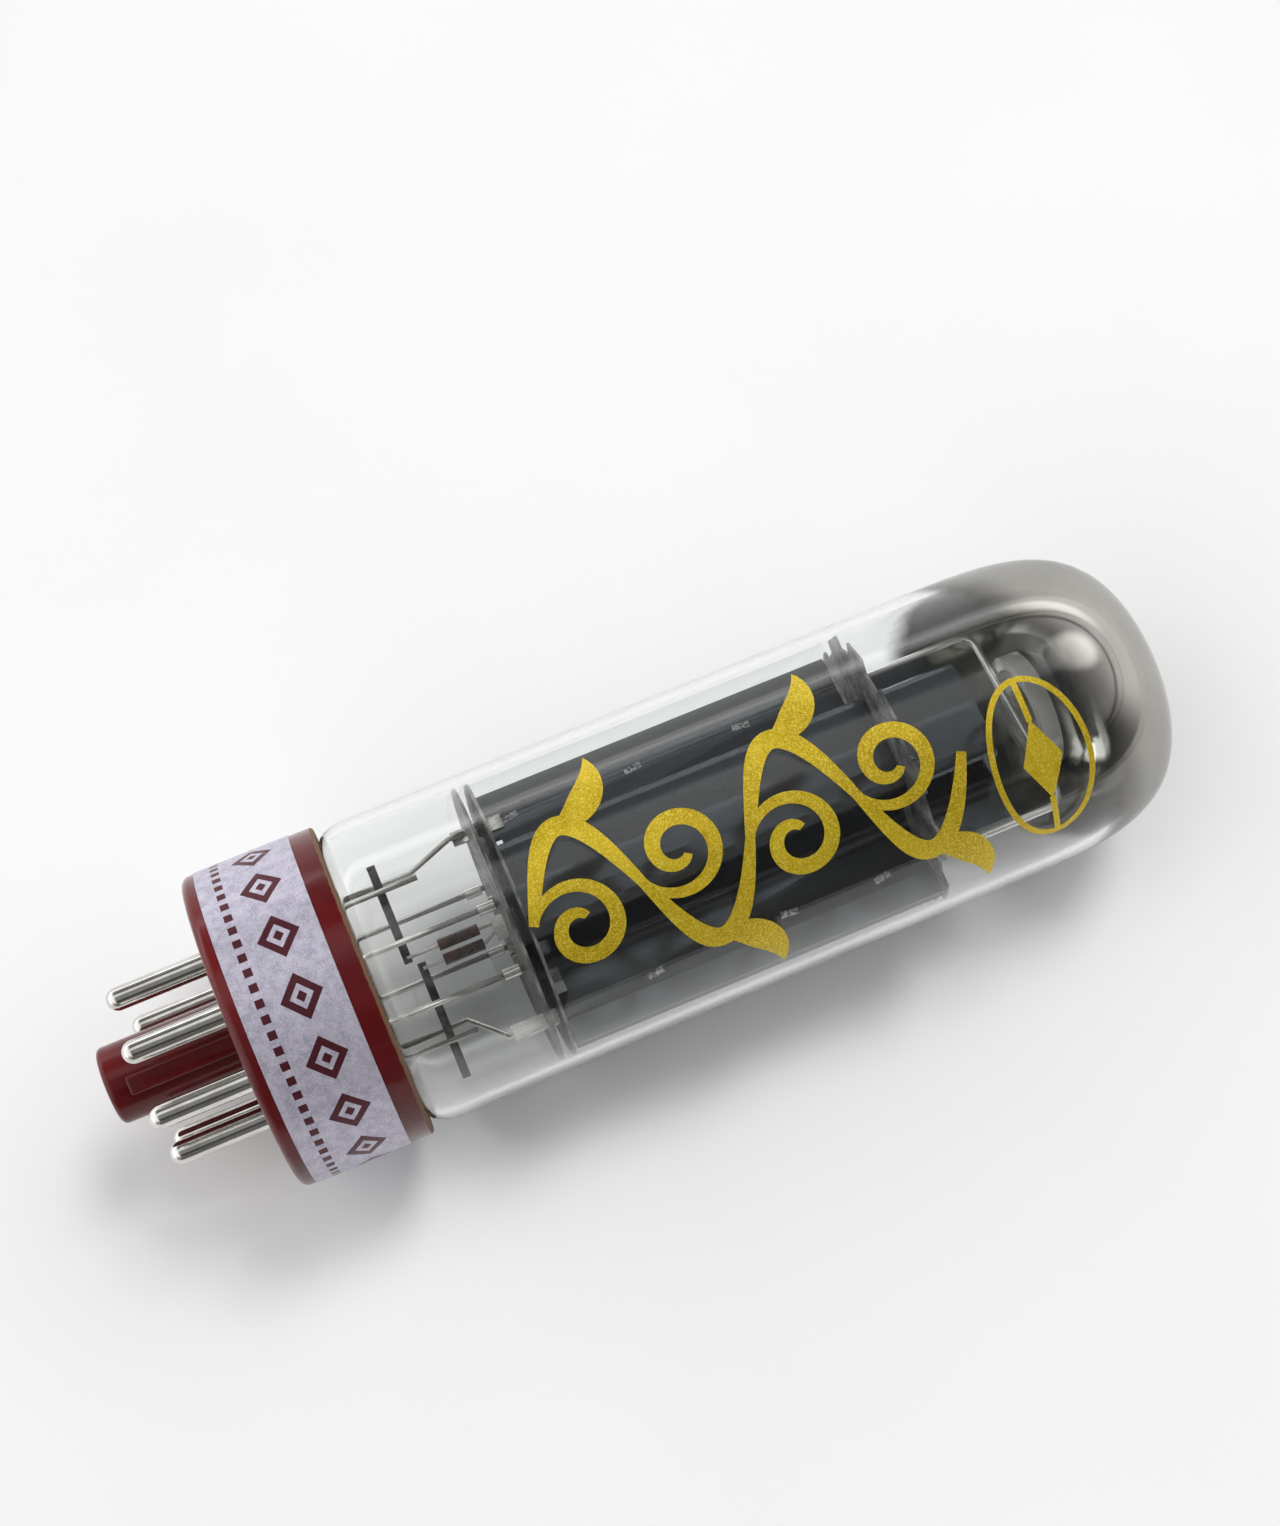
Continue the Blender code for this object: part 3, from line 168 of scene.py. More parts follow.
# %% [markdown]
# Many patterns follow the valve, such as the label's print or the edge of the mirror in its dome. This
# node group turns a point of the object into a height along the axis and an arc length round it, so that
# every finish can say where on the valve its pattern lies.

# %% Where a point lies on the valve
def new_group(name, inputs, outputs):
    group = bpy.data.node_groups.new(name, "ShaderNodeTree")
    for label, kind, value in inputs:
        group.interface.new_socket(label, in_out="INPUT", socket_type=kind).default_value = value
    for label, kind in outputs:
        group.interface.new_socket(label, in_out="OUTPUT", socket_type=kind)
    return group, group.nodes.new("NodeGroupInput"), group.nodes.new("NodeGroupOutput")


def math_node(tree, operation, first, second=None):
    node = tree.nodes.new("ShaderNodeMath")
    node.operation = operation
    for socket, value in zip(node.inputs, (first, second)):
        if isinstance(value, (int, float)):
            socket.default_value = value
        elif value is not None:
            tree.links.new(value, socket)
    return node.outputs[0]


def upright_point(tree):
    """The object's own point, as it would lie with the valve standing upright."""
    coordinate = tree.nodes.new("ShaderNodeTexCoord")
    mapping = tree.nodes.new("ShaderNodeMapping")
    mapping.inputs["Rotation"].default_value = LYING.transposed().to_euler()
    mapping.inputs["Location"].default_value = -(LYING.transposed() @ SEAT)
    tree.links.new(coordinate.outputs["Object"], mapping.inputs["Vector"])
    return mapping.outputs["Vector"]


place_group, _, place_out = new_group("place_on_valve", [], [
    ("Height", "NodeSocketFloat"), ("Arc", "NodeSocketFloat"), ("Flat", "NodeSocketVector")])
split = place_group.nodes.new("ShaderNodeSeparateXYZ")
place_group.links.new(upright_point(place_group), split.inputs["Vector"])
turn = math_node(place_group, "ARCTAN2", split.outputs["Y"], split.outputs["X"])
arc_length = math_node(place_group, "MULTIPLY", turn, BASE_RADIUS)
flat = place_group.nodes.new("ShaderNodeCombineXYZ")
place_group.links.new(arc_length, flat.inputs["X"])
place_group.links.new(split.outputs["Z"], flat.inputs["Y"])
place_group.links.new(split.outputs["Z"], place_out.inputs["Height"])
place_group.links.new(arc_length, place_out.inputs["Arc"])
place_group.links.new(flat.outputs["Vector"], place_out.inputs["Flat"])
print("place_on_valve has", len(place_group.nodes), "nodes")

# %% [markdown]
# No real surface is quite even. `uneven` is a soft noise between two values, for colour, gloss and bump.
# `sparkle` scatters tiny bright grains of metal, as in the gold ink and in the label's film.

# %% Uneven surfaces and metal grains
uneven_group, uneven_in, uneven_out = new_group("uneven", [
    ("Vector", "NodeSocketVector", (0.0, 0.0, 0.0)), ("Scale", "NodeSocketFloat", 300.0),
    ("Low", "NodeSocketFloat", 0.0), ("High", "NodeSocketFloat", 1.0)], [("Value", "NodeSocketFloat")])
noise = uneven_group.nodes.new("ShaderNodeTexNoise")
noise.inputs["Detail"].default_value = 4.0
spread = uneven_group.nodes.new("ShaderNodeMapRange")
spread.interpolation_type = "SMOOTHSTEP"
spread.inputs["From Min"].default_value = 0.3
spread.inputs["From Max"].default_value = 0.7
for source, target in ((uneven_in.outputs["Vector"], noise.inputs["Vector"]),
                       (uneven_in.outputs["Scale"], noise.inputs["Scale"]),
                       (noise.outputs["Fac"], spread.inputs["Value"]),
                       (uneven_in.outputs["Low"], spread.inputs["To Min"]),
                       (uneven_in.outputs["High"], spread.inputs["To Max"]),
                       (spread.outputs["Result"], uneven_out.inputs["Value"])):
    uneven_group.links.new(source, target)

sparkle_group, sparkle_in, sparkle_out = new_group("sparkle", [
    ("Vector", "NodeSocketVector", (0.0, 0.0, 0.0)), ("Scale", "NodeSocketFloat", 6000.0),
    ("Share", "NodeSocketFloat", 0.2)], [("Mask", "NodeSocketFloat")])
cells = sparkle_group.nodes.new("ShaderNodeTexVoronoi")
grain_value = sparkle_group.nodes.new("ShaderNodeSeparateColor")
for source, target in ((sparkle_in.outputs["Vector"], cells.inputs["Vector"]),
                       (sparkle_in.outputs["Scale"], cells.inputs["Scale"]),
                       (cells.outputs["Color"], grain_value.inputs["Color"])):
    sparkle_group.links.new(source, target)
grains = math_node(sparkle_group, "LESS_THAN", grain_value.outputs["Red"], sparkle_in.outputs["Share"])
sparkle_group.links.new(grains, sparkle_out.inputs["Mask"])
print("Groups made:", [group.name for group in bpy.data.node_groups])

# %% [markdown]
# Each finish below starts from the same few steps: a new material, its Principled shader, and groups or
# textures that are linked to it. These helpers keep the cells short.

# %% Helpers for the finishes
def new_finish(name, metallic=0.0, roughness=0.4, ior=1.5):
    finish = bpy.data.materials.new(name)
    finish.use_nodes = True
    shader = finish.node_tree.nodes["Principled BSDF"]
    shader.inputs["Metallic"].default_value = metallic
    shader.inputs["Roughness"].default_value = roughness
    shader.inputs["IOR"].default_value = ior
    return finish, finish.node_tree, shader


def add_group(tree, group, vector=None, **values):
    node = tree.nodes.new("ShaderNodeGroup")
    node.node_tree = group
    for label, value in values.items():
        node.inputs[label].default_value = value
    if vector is not None:
        tree.links.new(vector, node.inputs["Vector"])
    return node


def object_point(tree, stretch=(1.0, 1.0, 1.0)):
    coordinate = tree.nodes.new("ShaderNodeTexCoord")
    mapping = tree.nodes.new("ShaderNodeMapping")
    mapping.inputs["Scale"].default_value = stretch
    tree.links.new(coordinate.outputs["Object"], mapping.inputs["Vector"])
    return mapping.outputs["Vector"]


def blend(tree, mask, first, second):
    mix = tree.nodes.new("ShaderNodeMix")
    mix.data_type = "RGBA"
    colours = [socket for socket in mix.inputs if socket.type == "RGBA"]
    for socket, value in zip(colours, (first, second)):
        if isinstance(value, tuple):
            socket.default_value = (*value, 1.0)
        else:
            tree.links.new(value, socket)
    tree.links.new(mask, mix.inputs[0])
    return [socket for socket in mix.outputs if socket.type == "RGBA"][0]


def bump(tree, shader, height, depth):
    node = tree.nodes.new("ShaderNodeBump")
    node.inputs["Distance"].default_value = depth
    tree.links.new(height, node.inputs["Height"])
    tree.links.new(node.outputs["Normal"], shader.inputs["Normal"])


def edge_mask(tree, value, low, high):
    """0 at low and before it, 1 at high and past it, smooth between. Low may be the larger of the two."""
    node = tree.nodes.new("ShaderNodeMapRange")
    node.interpolation_type = "SMOOTHSTEP"
    node.inputs["From Min"].default_value = low
    node.inputs["From Max"].default_value = high
    tree.links.new(value, node.inputs["Value"])
    return node.outputs["Result"]


def dot_with(tree, vector, axis):
    """How far a vector reaches along an axis."""
    node = tree.nodes.new("ShaderNodeVectorMath")
    node.operation = "DOT_PRODUCT"
    node.inputs[1].default_value = axis
    tree.links.new(vector, node.inputs[0])
    return node.outputs["Value"]


# %% [markdown]
# The base is moulded in a dark maroon plastic. It is glossy, but the mould leaves it a little wavy. Its
# upper edge is rubbed raw and stained by the cement, which shows as a thin brown ring beside the glass.

# %% Maroon moulding
STAIN_START, STAIN_END = 0.01335, 0.01350

moulding, tree, shader = new_finish("maroon_moulding", roughness=0.2, ior=1.38)
place = add_group(tree, place_group)
tone = add_group(tree, uneven_group, object_point(tree), Scale=90.0)
body_colour = blend(tree, tone.outputs["Value"], (0.085, 0.0050, 0.0060), (0.130, 0.0085, 0.0095))
ragged = add_group(tree, uneven_group, object_point(tree), Scale=1300.0, Low=-0.00004, High=0.00004)
rim_height = math_node(tree, "ADD", place.outputs["Height"], ragged.outputs["Value"])
rim = edge_mask(tree, rim_height, STAIN_START, STAIN_END)
tree.links.new(blend(tree, rim, body_colour, (0.16, 0.085, 0.045)), shader.inputs["Base Color"])
gloss = add_group(tree, uneven_group, object_point(tree), Scale=260.0, Low=0.13, High=0.24)
rubbed = math_node(tree, "MULTIPLY", rim, 0.65)
tree.links.new(math_node(tree, "MAXIMUM", gloss.outputs["Value"], rubbed), shader.inputs["Roughness"])
wave = add_group(tree, uneven_group, object_point(tree), Scale=180.0)
bump(tree, shader, wave.outputs["Value"], 0.00003)

# %% [markdown]
# The base is one moulding: a cup, the spigot that finds the socket's middle, and the key on its side. The
# cup and spigot are turned in one go. The outline has small rounds where the mould has them, because a
# sharp edge would catch no light.

# %% Base cup and spigot
SPIGOT_RADIUS = 0.00393
SPIGOT_LENGTH = 0.0137
BORE_RADIUS = 0.0027
BORE_DEPTH = 0.0125
CUP_RADIUS = 0.0151 * FACET
CUP_FLOOR = 0.0026
SEAT_RING = 0.0110
RIM_ROUND, FOOT_ROUND, SPIGOT_ROOT_ROUND, SPIGOT_TIP_ROUND = 0.0004, 0.0009, 0.0003, 0.0006


def base_outline():
    root = SPIGOT_RADIUS + SPIGOT_ROOT_ROUND
    outline = [(0.0, -BORE_DEPTH), (BORE_RADIUS, -BORE_DEPTH), (BORE_RADIUS, CUP_FLOOR)]
    outline += [(CUP_RADIUS, CUP_FLOOR), (CUP_RADIUS, BASE_HEIGHT)]
    outline += arc((BASE_RADIUS - RIM_ROUND, BASE_HEIGHT - RIM_ROUND), RIM_ROUND, 90.0, 0.0, 4)
    outline += arc((BASE_RADIUS - FOOT_ROUND, FOOT_ROUND), FOOT_ROUND, 0.0, -90.0, 7)
    outline += [(SEAT_RING, 0.0), (root, 0.0)]
    outline += arc((root, -SPIGOT_ROOT_ROUND), SPIGOT_ROOT_ROUND, 90.0, 180.0, 3)
    tip = (SPIGOT_RADIUS - SPIGOT_TIP_ROUND, SPIGOT_TIP_ROUND - SPIGOT_LENGTH)
    outline += arc(tip, SPIGOT_TIP_ROUND, 0.0, -90.0, 5)
    outline.append((0.0, -SPIGOT_LENGTH))
    return outline


base = lathe("moulded_base", base_outline(), steps=128)

# %% [markdown]
# The key is a small box with rounded edges that stands out of the spigot. It is added as a cube at its
# place, bevelled, and fused with the base by a Boolean, so that both share one skin as in the moulding.

# %% Key on the spigot
KEY_SIZE = (0.0016, 0.0019, 0.0128)
KEY_PLACE = (0.00413, 0.0, -0.0051)
KEY_ROUND = 0.00025
KEY_TURN = math.radians(22.5)

clear_selection()
bpy.ops.mesh.primitive_cube_add(size=1.0, location=KEY_PLACE)
key = bpy.context.object
key.name = "spigot_key"
key.scale = KEY_SIZE
bpy.ops.object.transform_apply(location=True, rotation=True, scale=True)
bpy.ops.object.mode_set(mode="EDIT")
bpy.ops.mesh.select_all(action="SELECT")
bpy.ops.mesh.bevel(offset=KEY_ROUND, segments=3)
bpy.ops.object.mode_set(mode="OBJECT")
key.rotation_euler.z = KEY_TURN
fuse = base.modifiers.new("Key", "BOOLEAN")
fuse.operation = "UNION"
fuse.object = key
pick(base)
bpy.ops.object.modifier_apply(modifier="Key")
bpy.data.objects.remove(key)
bpy.ops.object.shade_smooth_by_angle(angle=SHARP_FOLD)
settle(base, moulding, ["base"])

# %% [markdown]
# The label is a band of silver-lilac film with a fine metallic grain. Its print is a plain ornament in the
# base's own maroon: a row of lozenges with a row of dots beside it. Drawn with maths on the height and the
# arc length, the print stays sharp at any distance.

# %% Label film
LOZENGE_ROW, LOZENGE_PITCH = 0.0074, 0.0062
LOZENGE_HALF_ARC, LOZENGE_HALF_HEIGHT = 0.0023, 0.0021
LOZENGE_LINE, LOZENGE_LINE_HALF, LOZENGE_CORE = 0.78, 0.22, 0.26
DOT_ROW, DOT_PITCH, DOT_HALF = 0.0036, 0.00155, 0.00042
PRINT_REACH = 0.0279

film, tree, shader = new_finish("lilac_label_film", metallic=0.35, roughness=0.4)
place = add_group(tree, place_group)
arc_place, height = place.outputs["Arc"], place.outputs["Height"]


def repeated(tree, value, pitch):
    """Distance from the middle of the nearest of the copies that stand a pitch apart."""
    cell = math_node(tree, "FRACT", math_node(tree, "DIVIDE", value, pitch))
    away = math_node(tree, "ABSOLUTE", math_node(tree, "SUBTRACT", cell, 0.5))
    return math_node(tree, "MULTIPLY", away, pitch)


def within(tree, value, middle, half):
    """1 inside a band about a middle value, 0 outside."""
    away = math_node(tree, "ABSOLUTE", math_node(tree, "SUBTRACT", value, middle))
    return math_node(tree, "LESS_THAN", away, half)


across = math_node(tree, "DIVIDE", repeated(tree, arc_place, LOZENGE_PITCH), LOZENGE_HALF_ARC)
from_row = math_node(tree, "ABSOLUTE", math_node(tree, "SUBTRACT", height, LOZENGE_ROW))
along = math_node(tree, "DIVIDE", from_row, LOZENGE_HALF_HEIGHT)
lozenge_place = math_node(tree, "ADD", across, along)
lozenges = within(tree, lozenge_place, LOZENGE_LINE, LOZENGE_LINE_HALF)
cores = math_node(tree, "LESS_THAN", lozenge_place, LOZENGE_CORE)
dot_columns = math_node(tree, "LESS_THAN", repeated(tree, arc_place, DOT_PITCH), DOT_HALF)
dots = math_node(tree, "MULTIPLY", within(tree, height, DOT_ROW, DOT_HALF), dot_columns)
printed = math_node(tree, "MAXIMUM", math_node(tree, "MAXIMUM", lozenges, cores), dots)
printed = math_node(tree, "MULTIPLY", printed, within(tree, arc_place, 0.0, PRINT_REACH))
mottle = add_group(tree, uneven_group, place.outputs["Flat"], Scale=900.0)
grain = add_group(tree, sparkle_group, place.outputs["Flat"], Scale=9000.0, Share=0.35)
film_colour = blend(tree, mottle.outputs["Value"], (0.38, 0.36, 0.45), (0.54, 0.51, 0.61))
metal_grain = math_node(tree, "MULTIPLY", grain.outputs["Mask"], 0.45)
film_colour = blend(tree, metal_grain, film_colour, (0.70, 0.67, 0.76))
tree.links.new(blend(tree, printed, film_colour, (0.075, 0.010, 0.018)), shader.inputs["Base Color"])
sheen = add_group(tree, uneven_group, place.outputs["Flat"], Scale=2600.0, Low=0.30, High=0.52)
tree.links.new(sheen.outputs["Value"], shader.inputs["Roughness"])
bump(tree, shader, mottle.outputs["Value"], 0.00001)

# %% [markdown]
# The band is less than a tenth of a millimetre thick. Its outline is a closed one, so the lathe keeps the
# edge between its last point and its first.

# %% Label band
LABEL_LOW, LABEL_HIGH = 0.0015, 0.0113
LABEL_BACK, LABEL_FACE = BASE_RADIUS + 0.00002, BASE_RADIUS + 0.00010

label_outline = [(LABEL_BACK, LABEL_HIGH), (LABEL_FACE, LABEL_HIGH)]
label_outline += [(LABEL_FACE, LABEL_LOW), (LABEL_BACK, LABEL_LOW)]
label = lathe("label_sleeve", label_outline, steps=128, closed=True)
settle(label, film, ["label_band"])

# %% [markdown]
# The pins are brass tubes with bright nickel plating, drawn smooth and closed round at the tip. Fine
# marks run along them from the socket. A noise that is stretched along the axis makes those marks.

# %% Plated metal
plating, tree, shader = new_finish("plated_pin", metallic=1.0, roughness=0.12)
along_pin = object_point(tree, (60.0, 1500.0, 1500.0))
marks = add_group(tree, uneven_group, along_pin, Scale=1.0)
cloud = add_group(tree, uneven_group, object_point(tree), Scale=500.0)
tree.links.new(blend(tree, cloud.outputs["Value"], (0.64, 0.62, 0.58), (0.78, 0.77, 0.74)),
               shader.inputs["Base Color"])
gloss = add_group(tree, uneven_group, along_pin, Scale=1.0, Low=0.05, High=0.13)
tree.links.new(gloss.outputs["Value"], shader.inputs["Roughness"])
bump(tree, shader, marks.outputs["Value"], 0.000004)

# %% [markdown]
# Pin 8 is turned first, and the others are copies of it, 45 degrees apart on the pin circle. Position 6 is
# left empty, as on the real valve.

# %% Pins
PIN_RADIUS, PIN_BORE = 0.00118, 0.00062
PIN_LENGTH, PIN_ROOT = 0.0105, 0.0020
PIN_STEP = 45.0

pin_outline = [(PIN_BORE, PIN_ROOT), (PIN_RADIUS, PIN_ROOT)]
pin_outline += arc((0.0, PIN_RADIUS - PIN_LENGTH), PIN_RADIUS, 0.0, -90.0, 8)
first_pin = lathe("pin_8_plated", pin_outline, steps=32)
first_pin.location = (PIN_CIRCLE, 0.0, 0.0)
pins = {8: first_pin}
for position in (1, 2, 3, 4, 5, 7):
    pick(first_pin)
    bpy.ops.object.duplicate(linked=False)
    pins[position] = bpy.context.object
    pins[position].name = f"pin_{position}_plated"
    angle = math.radians(PIN_STEP * position)
    pins[position].location = (PIN_CIRCLE * math.cos(angle), PIN_CIRCLE * math.sin(angle), 0.0)
for position, pin in sorted(pins.items()):
    settle(pin, plating, [f"pin_{position}"])

# %% [markdown]
# The bulb is soda glass about a millimetre thick. Both of its skins are modelled, because the bright
# lines along its sides come from light that bends in that wall. Shadow rays pass straight through, as they
# nearly do in so thin a wall, so that the parts inside are lit.

# %% Clear glass
glass, tree, shader = new_finish("clear_glass", roughness=0.0, ior=1.48)
shader.inputs["Base Color"].default_value = (0.985, 1.0, 0.992, 1.0)
shader.inputs["Transmission Weight"].default_value = 1.0
ripple = add_group(tree, uneven_group, object_point(tree, (0.3, 1.0, 1.0)), Scale=45.0)
bump(tree, shader, ripple.outputs["Value"], 0.0000005)
rays = tree.nodes.new("ShaderNodeLightPath")
clear = tree.nodes.new("ShaderNodeBsdfTransparent")
either = tree.nodes.new("ShaderNodeMixShader")
tree.links.new(rays.outputs["Is Shadow Ray"], either.inputs["Fac"])
tree.links.new(shader.outputs["BSDF"], either.inputs[1])
tree.links.new(clear.outputs["BSDF"], either.inputs[2])
tree.links.new(either.outputs["Shader"], tree.nodes["Material Output"].inputs["Surface"])

# %% [markdown]
# The dome is squarer than half a ball, so its outline is a superellipse. Below it the bulb draws in to a
# neck that stands in the base. One outline serves for the outer skin and, a wall smaller, for the inner.

# %% Glass bulb
SHOULDER_STEPS = 8


def dome_outline(radius, length, steps=40):
    points = []
    for i in range(steps + 1):
        angle = math.pi / 2 * (1 - i / steps)
        across = max(math.cos(angle), 0.0) ** (2 / DOME_SQUARENESS)
        along = math.sin(angle) ** (2 / DOME_SQUARENESS)
        points.append((radius * across, DOME_START + length * along))
    points[0] = (0.0, DOME_START + length)
    return points


def wall_outline(radius, neck, length):
    points = dome_outline(radius, length)
    for i in range(SHOULDER_STEPS + 1):
        angle = math.pi / 2 * i / SHOULDER_STEPS
        points.append((neck + (radius - neck) * math.cos(angle),
                       SHOULDER_TOP - (SHOULDER_TOP - BASE_HEIGHT) * math.sin(angle)))
    points.append((neck, BULB_BOTTOM))
    return points


DOME_LENGTH = DOME_TOP - DOME_START
outer_wall = wall_outline(BULB_RADIUS, NECK_RADIUS, DOME_LENGTH)
inner_wall = wall_outline(BULB_RADIUS - BULB_WALL, NECK_RADIUS - BULB_WALL, DOME_LENGTH - BULB_WALL)
bulb = lathe("glass_bulb", outer_wall + inner_wall[::-1], steps=256)
settle(bulb, glass, ["bulb"])

# %% [markdown]
# When the valve is made, a ring of getter metal is fired inside the dome and leaves a mirror on the glass.
# The mirror is bonded to the glass, with no air between, so its shell lies a hair inside the wall. With an
# air gap the glass would hide the film near the bulb's outline. It ends along a slanting edge that fades
# from mirror through a dark haze to nothing, which the Alpha paints with a noisy height.

# %% Getter mirror
EDGE_TURN = math.radians(55.0)
EDGE_RISE = math.tan(math.radians(21.0))
EDGE_AXIS = (-EDGE_RISE * math.cos(EDGE_TURN), -EDGE_RISE * math.sin(EDGE_TURN), 1.0)
HAZE_START, HAZE_END = 0.0812, 0.0846
MIRROR_START, MIRROR_END = 0.0832, 0.0874

mirror, tree, shader = new_finish("getter_film", metallic=1.0, roughness=0.08)
smoke = add_group(tree, uneven_group, object_point(tree), Scale=140.0, Low=-0.0006, High=0.0006)
film_place = math_node(tree, "ADD", dot_with(tree, upright_point(tree), EDGE_AXIS), smoke.outputs["Value"])
tree.links.new(edge_mask(tree, film_place, HAZE_START, HAZE_END), shader.inputs["Alpha"])
thick = edge_mask(tree, film_place, MIRROR_START, MIRROR_END)
cloudy = add_group(tree, uneven_group, object_point(tree), Scale=60.0)
deep = blend(tree, cloudy.outputs["Value"], (0.33, 0.317, 0.293), (0.42, 0.403, 0.374))
tree.links.new(blend(tree, thick, (0.17, 0.160, 0.145), deep), shader.inputs["Base Color"])
haze = add_group(tree, uneven_group, object_point(tree), Scale=80.0, Low=0.05, High=0.09)
tree.links.new(haze.outputs["Value"], shader.inputs["Roughness"])

# %% [markdown]
# The shell repeats the dome's inner skin, a few hundredths of a millimetre into the glass, and runs on
# past the place where the film has faded out.

# %% Mirror shell
FILM_DEPTH = 0.00006
FILM_END = 0.0755

film_radius = BULB_RADIUS - BULB_WALL + FILM_DEPTH
film_dome = dome_outline(film_radius, DOME_LENGTH - BULB_WALL + FILM_DEPTH, steps=48)
film_dome.append((film_radius, FILM_END))
mirror_shell = lathe("getter_mirror_film", film_dome, steps=256)
settle(mirror_shell, mirror, ["getter_mirror"])

# %% [markdown]
# The pieces inside keep the CAD model's own shapes, since those are already right. A node's mesh comes as
# loose triangles, so a copy is merged and shaded smooth across its round parts, with sharp folds kept.

# %% Smooth copies of CAD nodes
CAD_MERGE_DISTANCE = 2e-6


def smooth_copy(node, name, finish, sharp=32.0):
    source = frame["nodes"][node]
    pick(source)
    bpy.ops.object.duplicate(linked=False)
    piece = bpy.context.object
    piece.name = piece.data.name = name
    del piece["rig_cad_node"]
    bpy.ops.object.mode_set(mode="EDIT")
    bpy.ops.mesh.select_all(action="SELECT")
    bpy.ops.mesh.remove_doubles(threshold=CAD_MERGE_DISTANCE)
    bpy.ops.mesh.normals_make_consistent(inside=False)
    bpy.ops.object.mode_set(mode="OBJECT")
    bpy.ops.object.shade_smooth_by_angle(angle=math.radians(sharp))
    settle(piece, finish, [node], lay=Matrix.Identity(4))


# %% [markdown]
# The anode and the shield are steel sheet, coated with carbon so that they lose heat. The coat is a dark
# slate with a soft satin gloss, and long faint streaks run along it.

# %% Carbonised steel
carbon, tree, shader = new_finish("carbonised_steel", metallic=0.9, roughness=0.3)
streak = add_group(tree, uneven_group, object_point(tree, (25.0, 420.0, 420.0)), Scale=1.0)
tree.links.new(blend(tree, streak.outputs["Value"], (0.055, 0.061, 0.068), (0.085, 0.094, 0.104)),
               shader.inputs["Base Color"])
satin = add_group(tree, uneven_group, object_point(tree), Scale=120.0, Low=0.15, High=0.20)
tree.links.new(satin.outputs["Value"], shader.inputs["Roughness"])
dust = add_group(tree, uneven_group, object_point(tree), Scale=3000.0)
bump(tree, shader, dust.outputs["Value"], 0.000002)
for node in ("anode_upper_half", "anode_lower_half", "beam_plate_far", "beam_plate_near", "top_shield"):
    smooth_copy(node, node + "_sheet", carbon)

# %% [markdown]
# Mica is split from a crystal into clear flakes, and it is sprayed with a rough oxide so that it leaks no
# current. It comes out a cloudy grey, and lets a little light through where the flakes part.

# %% Mica
mica, tree, shader = new_finish("grey_mica", roughness=0.3, ior=1.35)
cloud = add_group(tree, uneven_group, object_point(tree), Scale=380.0)
tree.links.new(blend(tree, cloud.outputs["Value"], (0.035, 0.035, 0.035), (0.26, 0.26, 0.248)),
               shader.inputs["Base Color"])
flake = add_group(tree, uneven_group, object_point(tree), Scale=520.0, Low=0.94, High=1.0)
tree.links.new(flake.outputs["Value"], shader.inputs["Alpha"])
layers = add_group(tree, uneven_group, object_point(tree), Scale=1400.0, Low=0.25, High=0.55)
tree.links.new(layers.outputs["Value"], shader.inputs["Roughness"])
bump(tree, shader, cloud.outputs["Value"], 0.00004)
for node in ("lower_mica", "bottom_mica", "top_mica"):
    smooth_copy(node, node + "_disc", mica)

# %% [markdown]
# Leads, tabs and grids are nickel wire and strip. Drawing leaves fine marks along a wire, and the heat of
# the glass seals leaves it a little darker in places.

# %% Nickel wire
nickel, tree, shader = new_finish("bright_nickel", metallic=0.75, roughness=0.2)
heat = add_group(tree, uneven_group, object_point(tree), Scale=220.0)
tree.links.new(blend(tree, heat.outputs["Value"], (0.50, 0.49, 0.46), (0.80, 0.79, 0.76)),
               shader.inputs["Base Color"])
along_wire = object_point(tree, (90.0, 2200.0, 2200.0))
drawn = add_group(tree, uneven_group, along_wire, Scale=1.0, Low=0.12, High=0.30)
tree.links.new(drawn.outputs["Value"], shader.inputs["Roughness"])
bump(tree, shader, drawn.outputs["Value"], 0.00002)
nickel_nodes = [f"lead_{n}" for n in range(1, 9)] + [f"lead_sleeve_{n}" for n in (1, 4, 5, 8)]
nickel_nodes += ["anode_tab_far", "anode_tab_near", "control_grid", "screen_grid"]
for node in nickel_nodes:
    smooth_copy(node, node + "_nickel", nickel, sharp=50.0)

# %% [markdown]
# The getter's bracket and ring are the brightest metal inside. The heater's wire and the cathode wear a
# chalky white coat. The strips that feed the heater are dark steel, and short brown sleeves keep its legs
# apart. Each is a simple finish with its own grain, so one helper makes them all.

# %% Getter, cathode, heater, cement and stem
def small_finish(name, dark, light, low, high, scale, metallic=0.0, depth=0.00001):
    """Colour from dark to light, roughness from low to high, both in grains of one scale."""
    finish, tree, shader = new_finish(name, metallic=metallic)
    tone = add_group(tree, uneven_group, object_point(tree), Scale=scale)
    tree.links.new(blend(tree, tone.outputs["Value"], dark, light), shader.inputs["Base Color"])
    rough = add_group(tree, uneven_group, object_point(tree), Scale=scale * 2.0, Low=low, High=high)
    tree.links.new(rough.outputs["Value"], shader.inputs["Roughness"])
    bump(tree, shader, rough.outputs["Value"], depth)
    return finish


polished = small_finish(
    "polished_nickel", (0.82, 0.81, 0.78), (0.92, 0.91, 0.89), 0.16, 0.24, 400.0, 0.6, 0.000001)
coated = small_finish("oxide_coat", (0.62, 0.61, 0.58), (0.80, 0.79, 0.76), 0.55, 0.80, 2500.0)
dark_steel = small_finish(
    "dark_strip_steel", (0.05, 0.05, 0.048), (0.16, 0.16, 0.15), 0.28, 0.5, 900.0, 0.8)
ceramic = small_finish("brown_ceramic", (0.015, 0.008, 0.007), (0.075, 0.022, 0.017), 0.25, 0.5, 1200.0)
cement = small_finish(
    "basing_cement", (0.20, 0.11, 0.06), (0.36, 0.22, 0.13), 0.7, 0.9, 1500.0, depth=0.0001)
for node in ("getter_bracket", "getter_ring"):
    smooth_copy(node, node + "_nickel", polished, sharp=50.0)
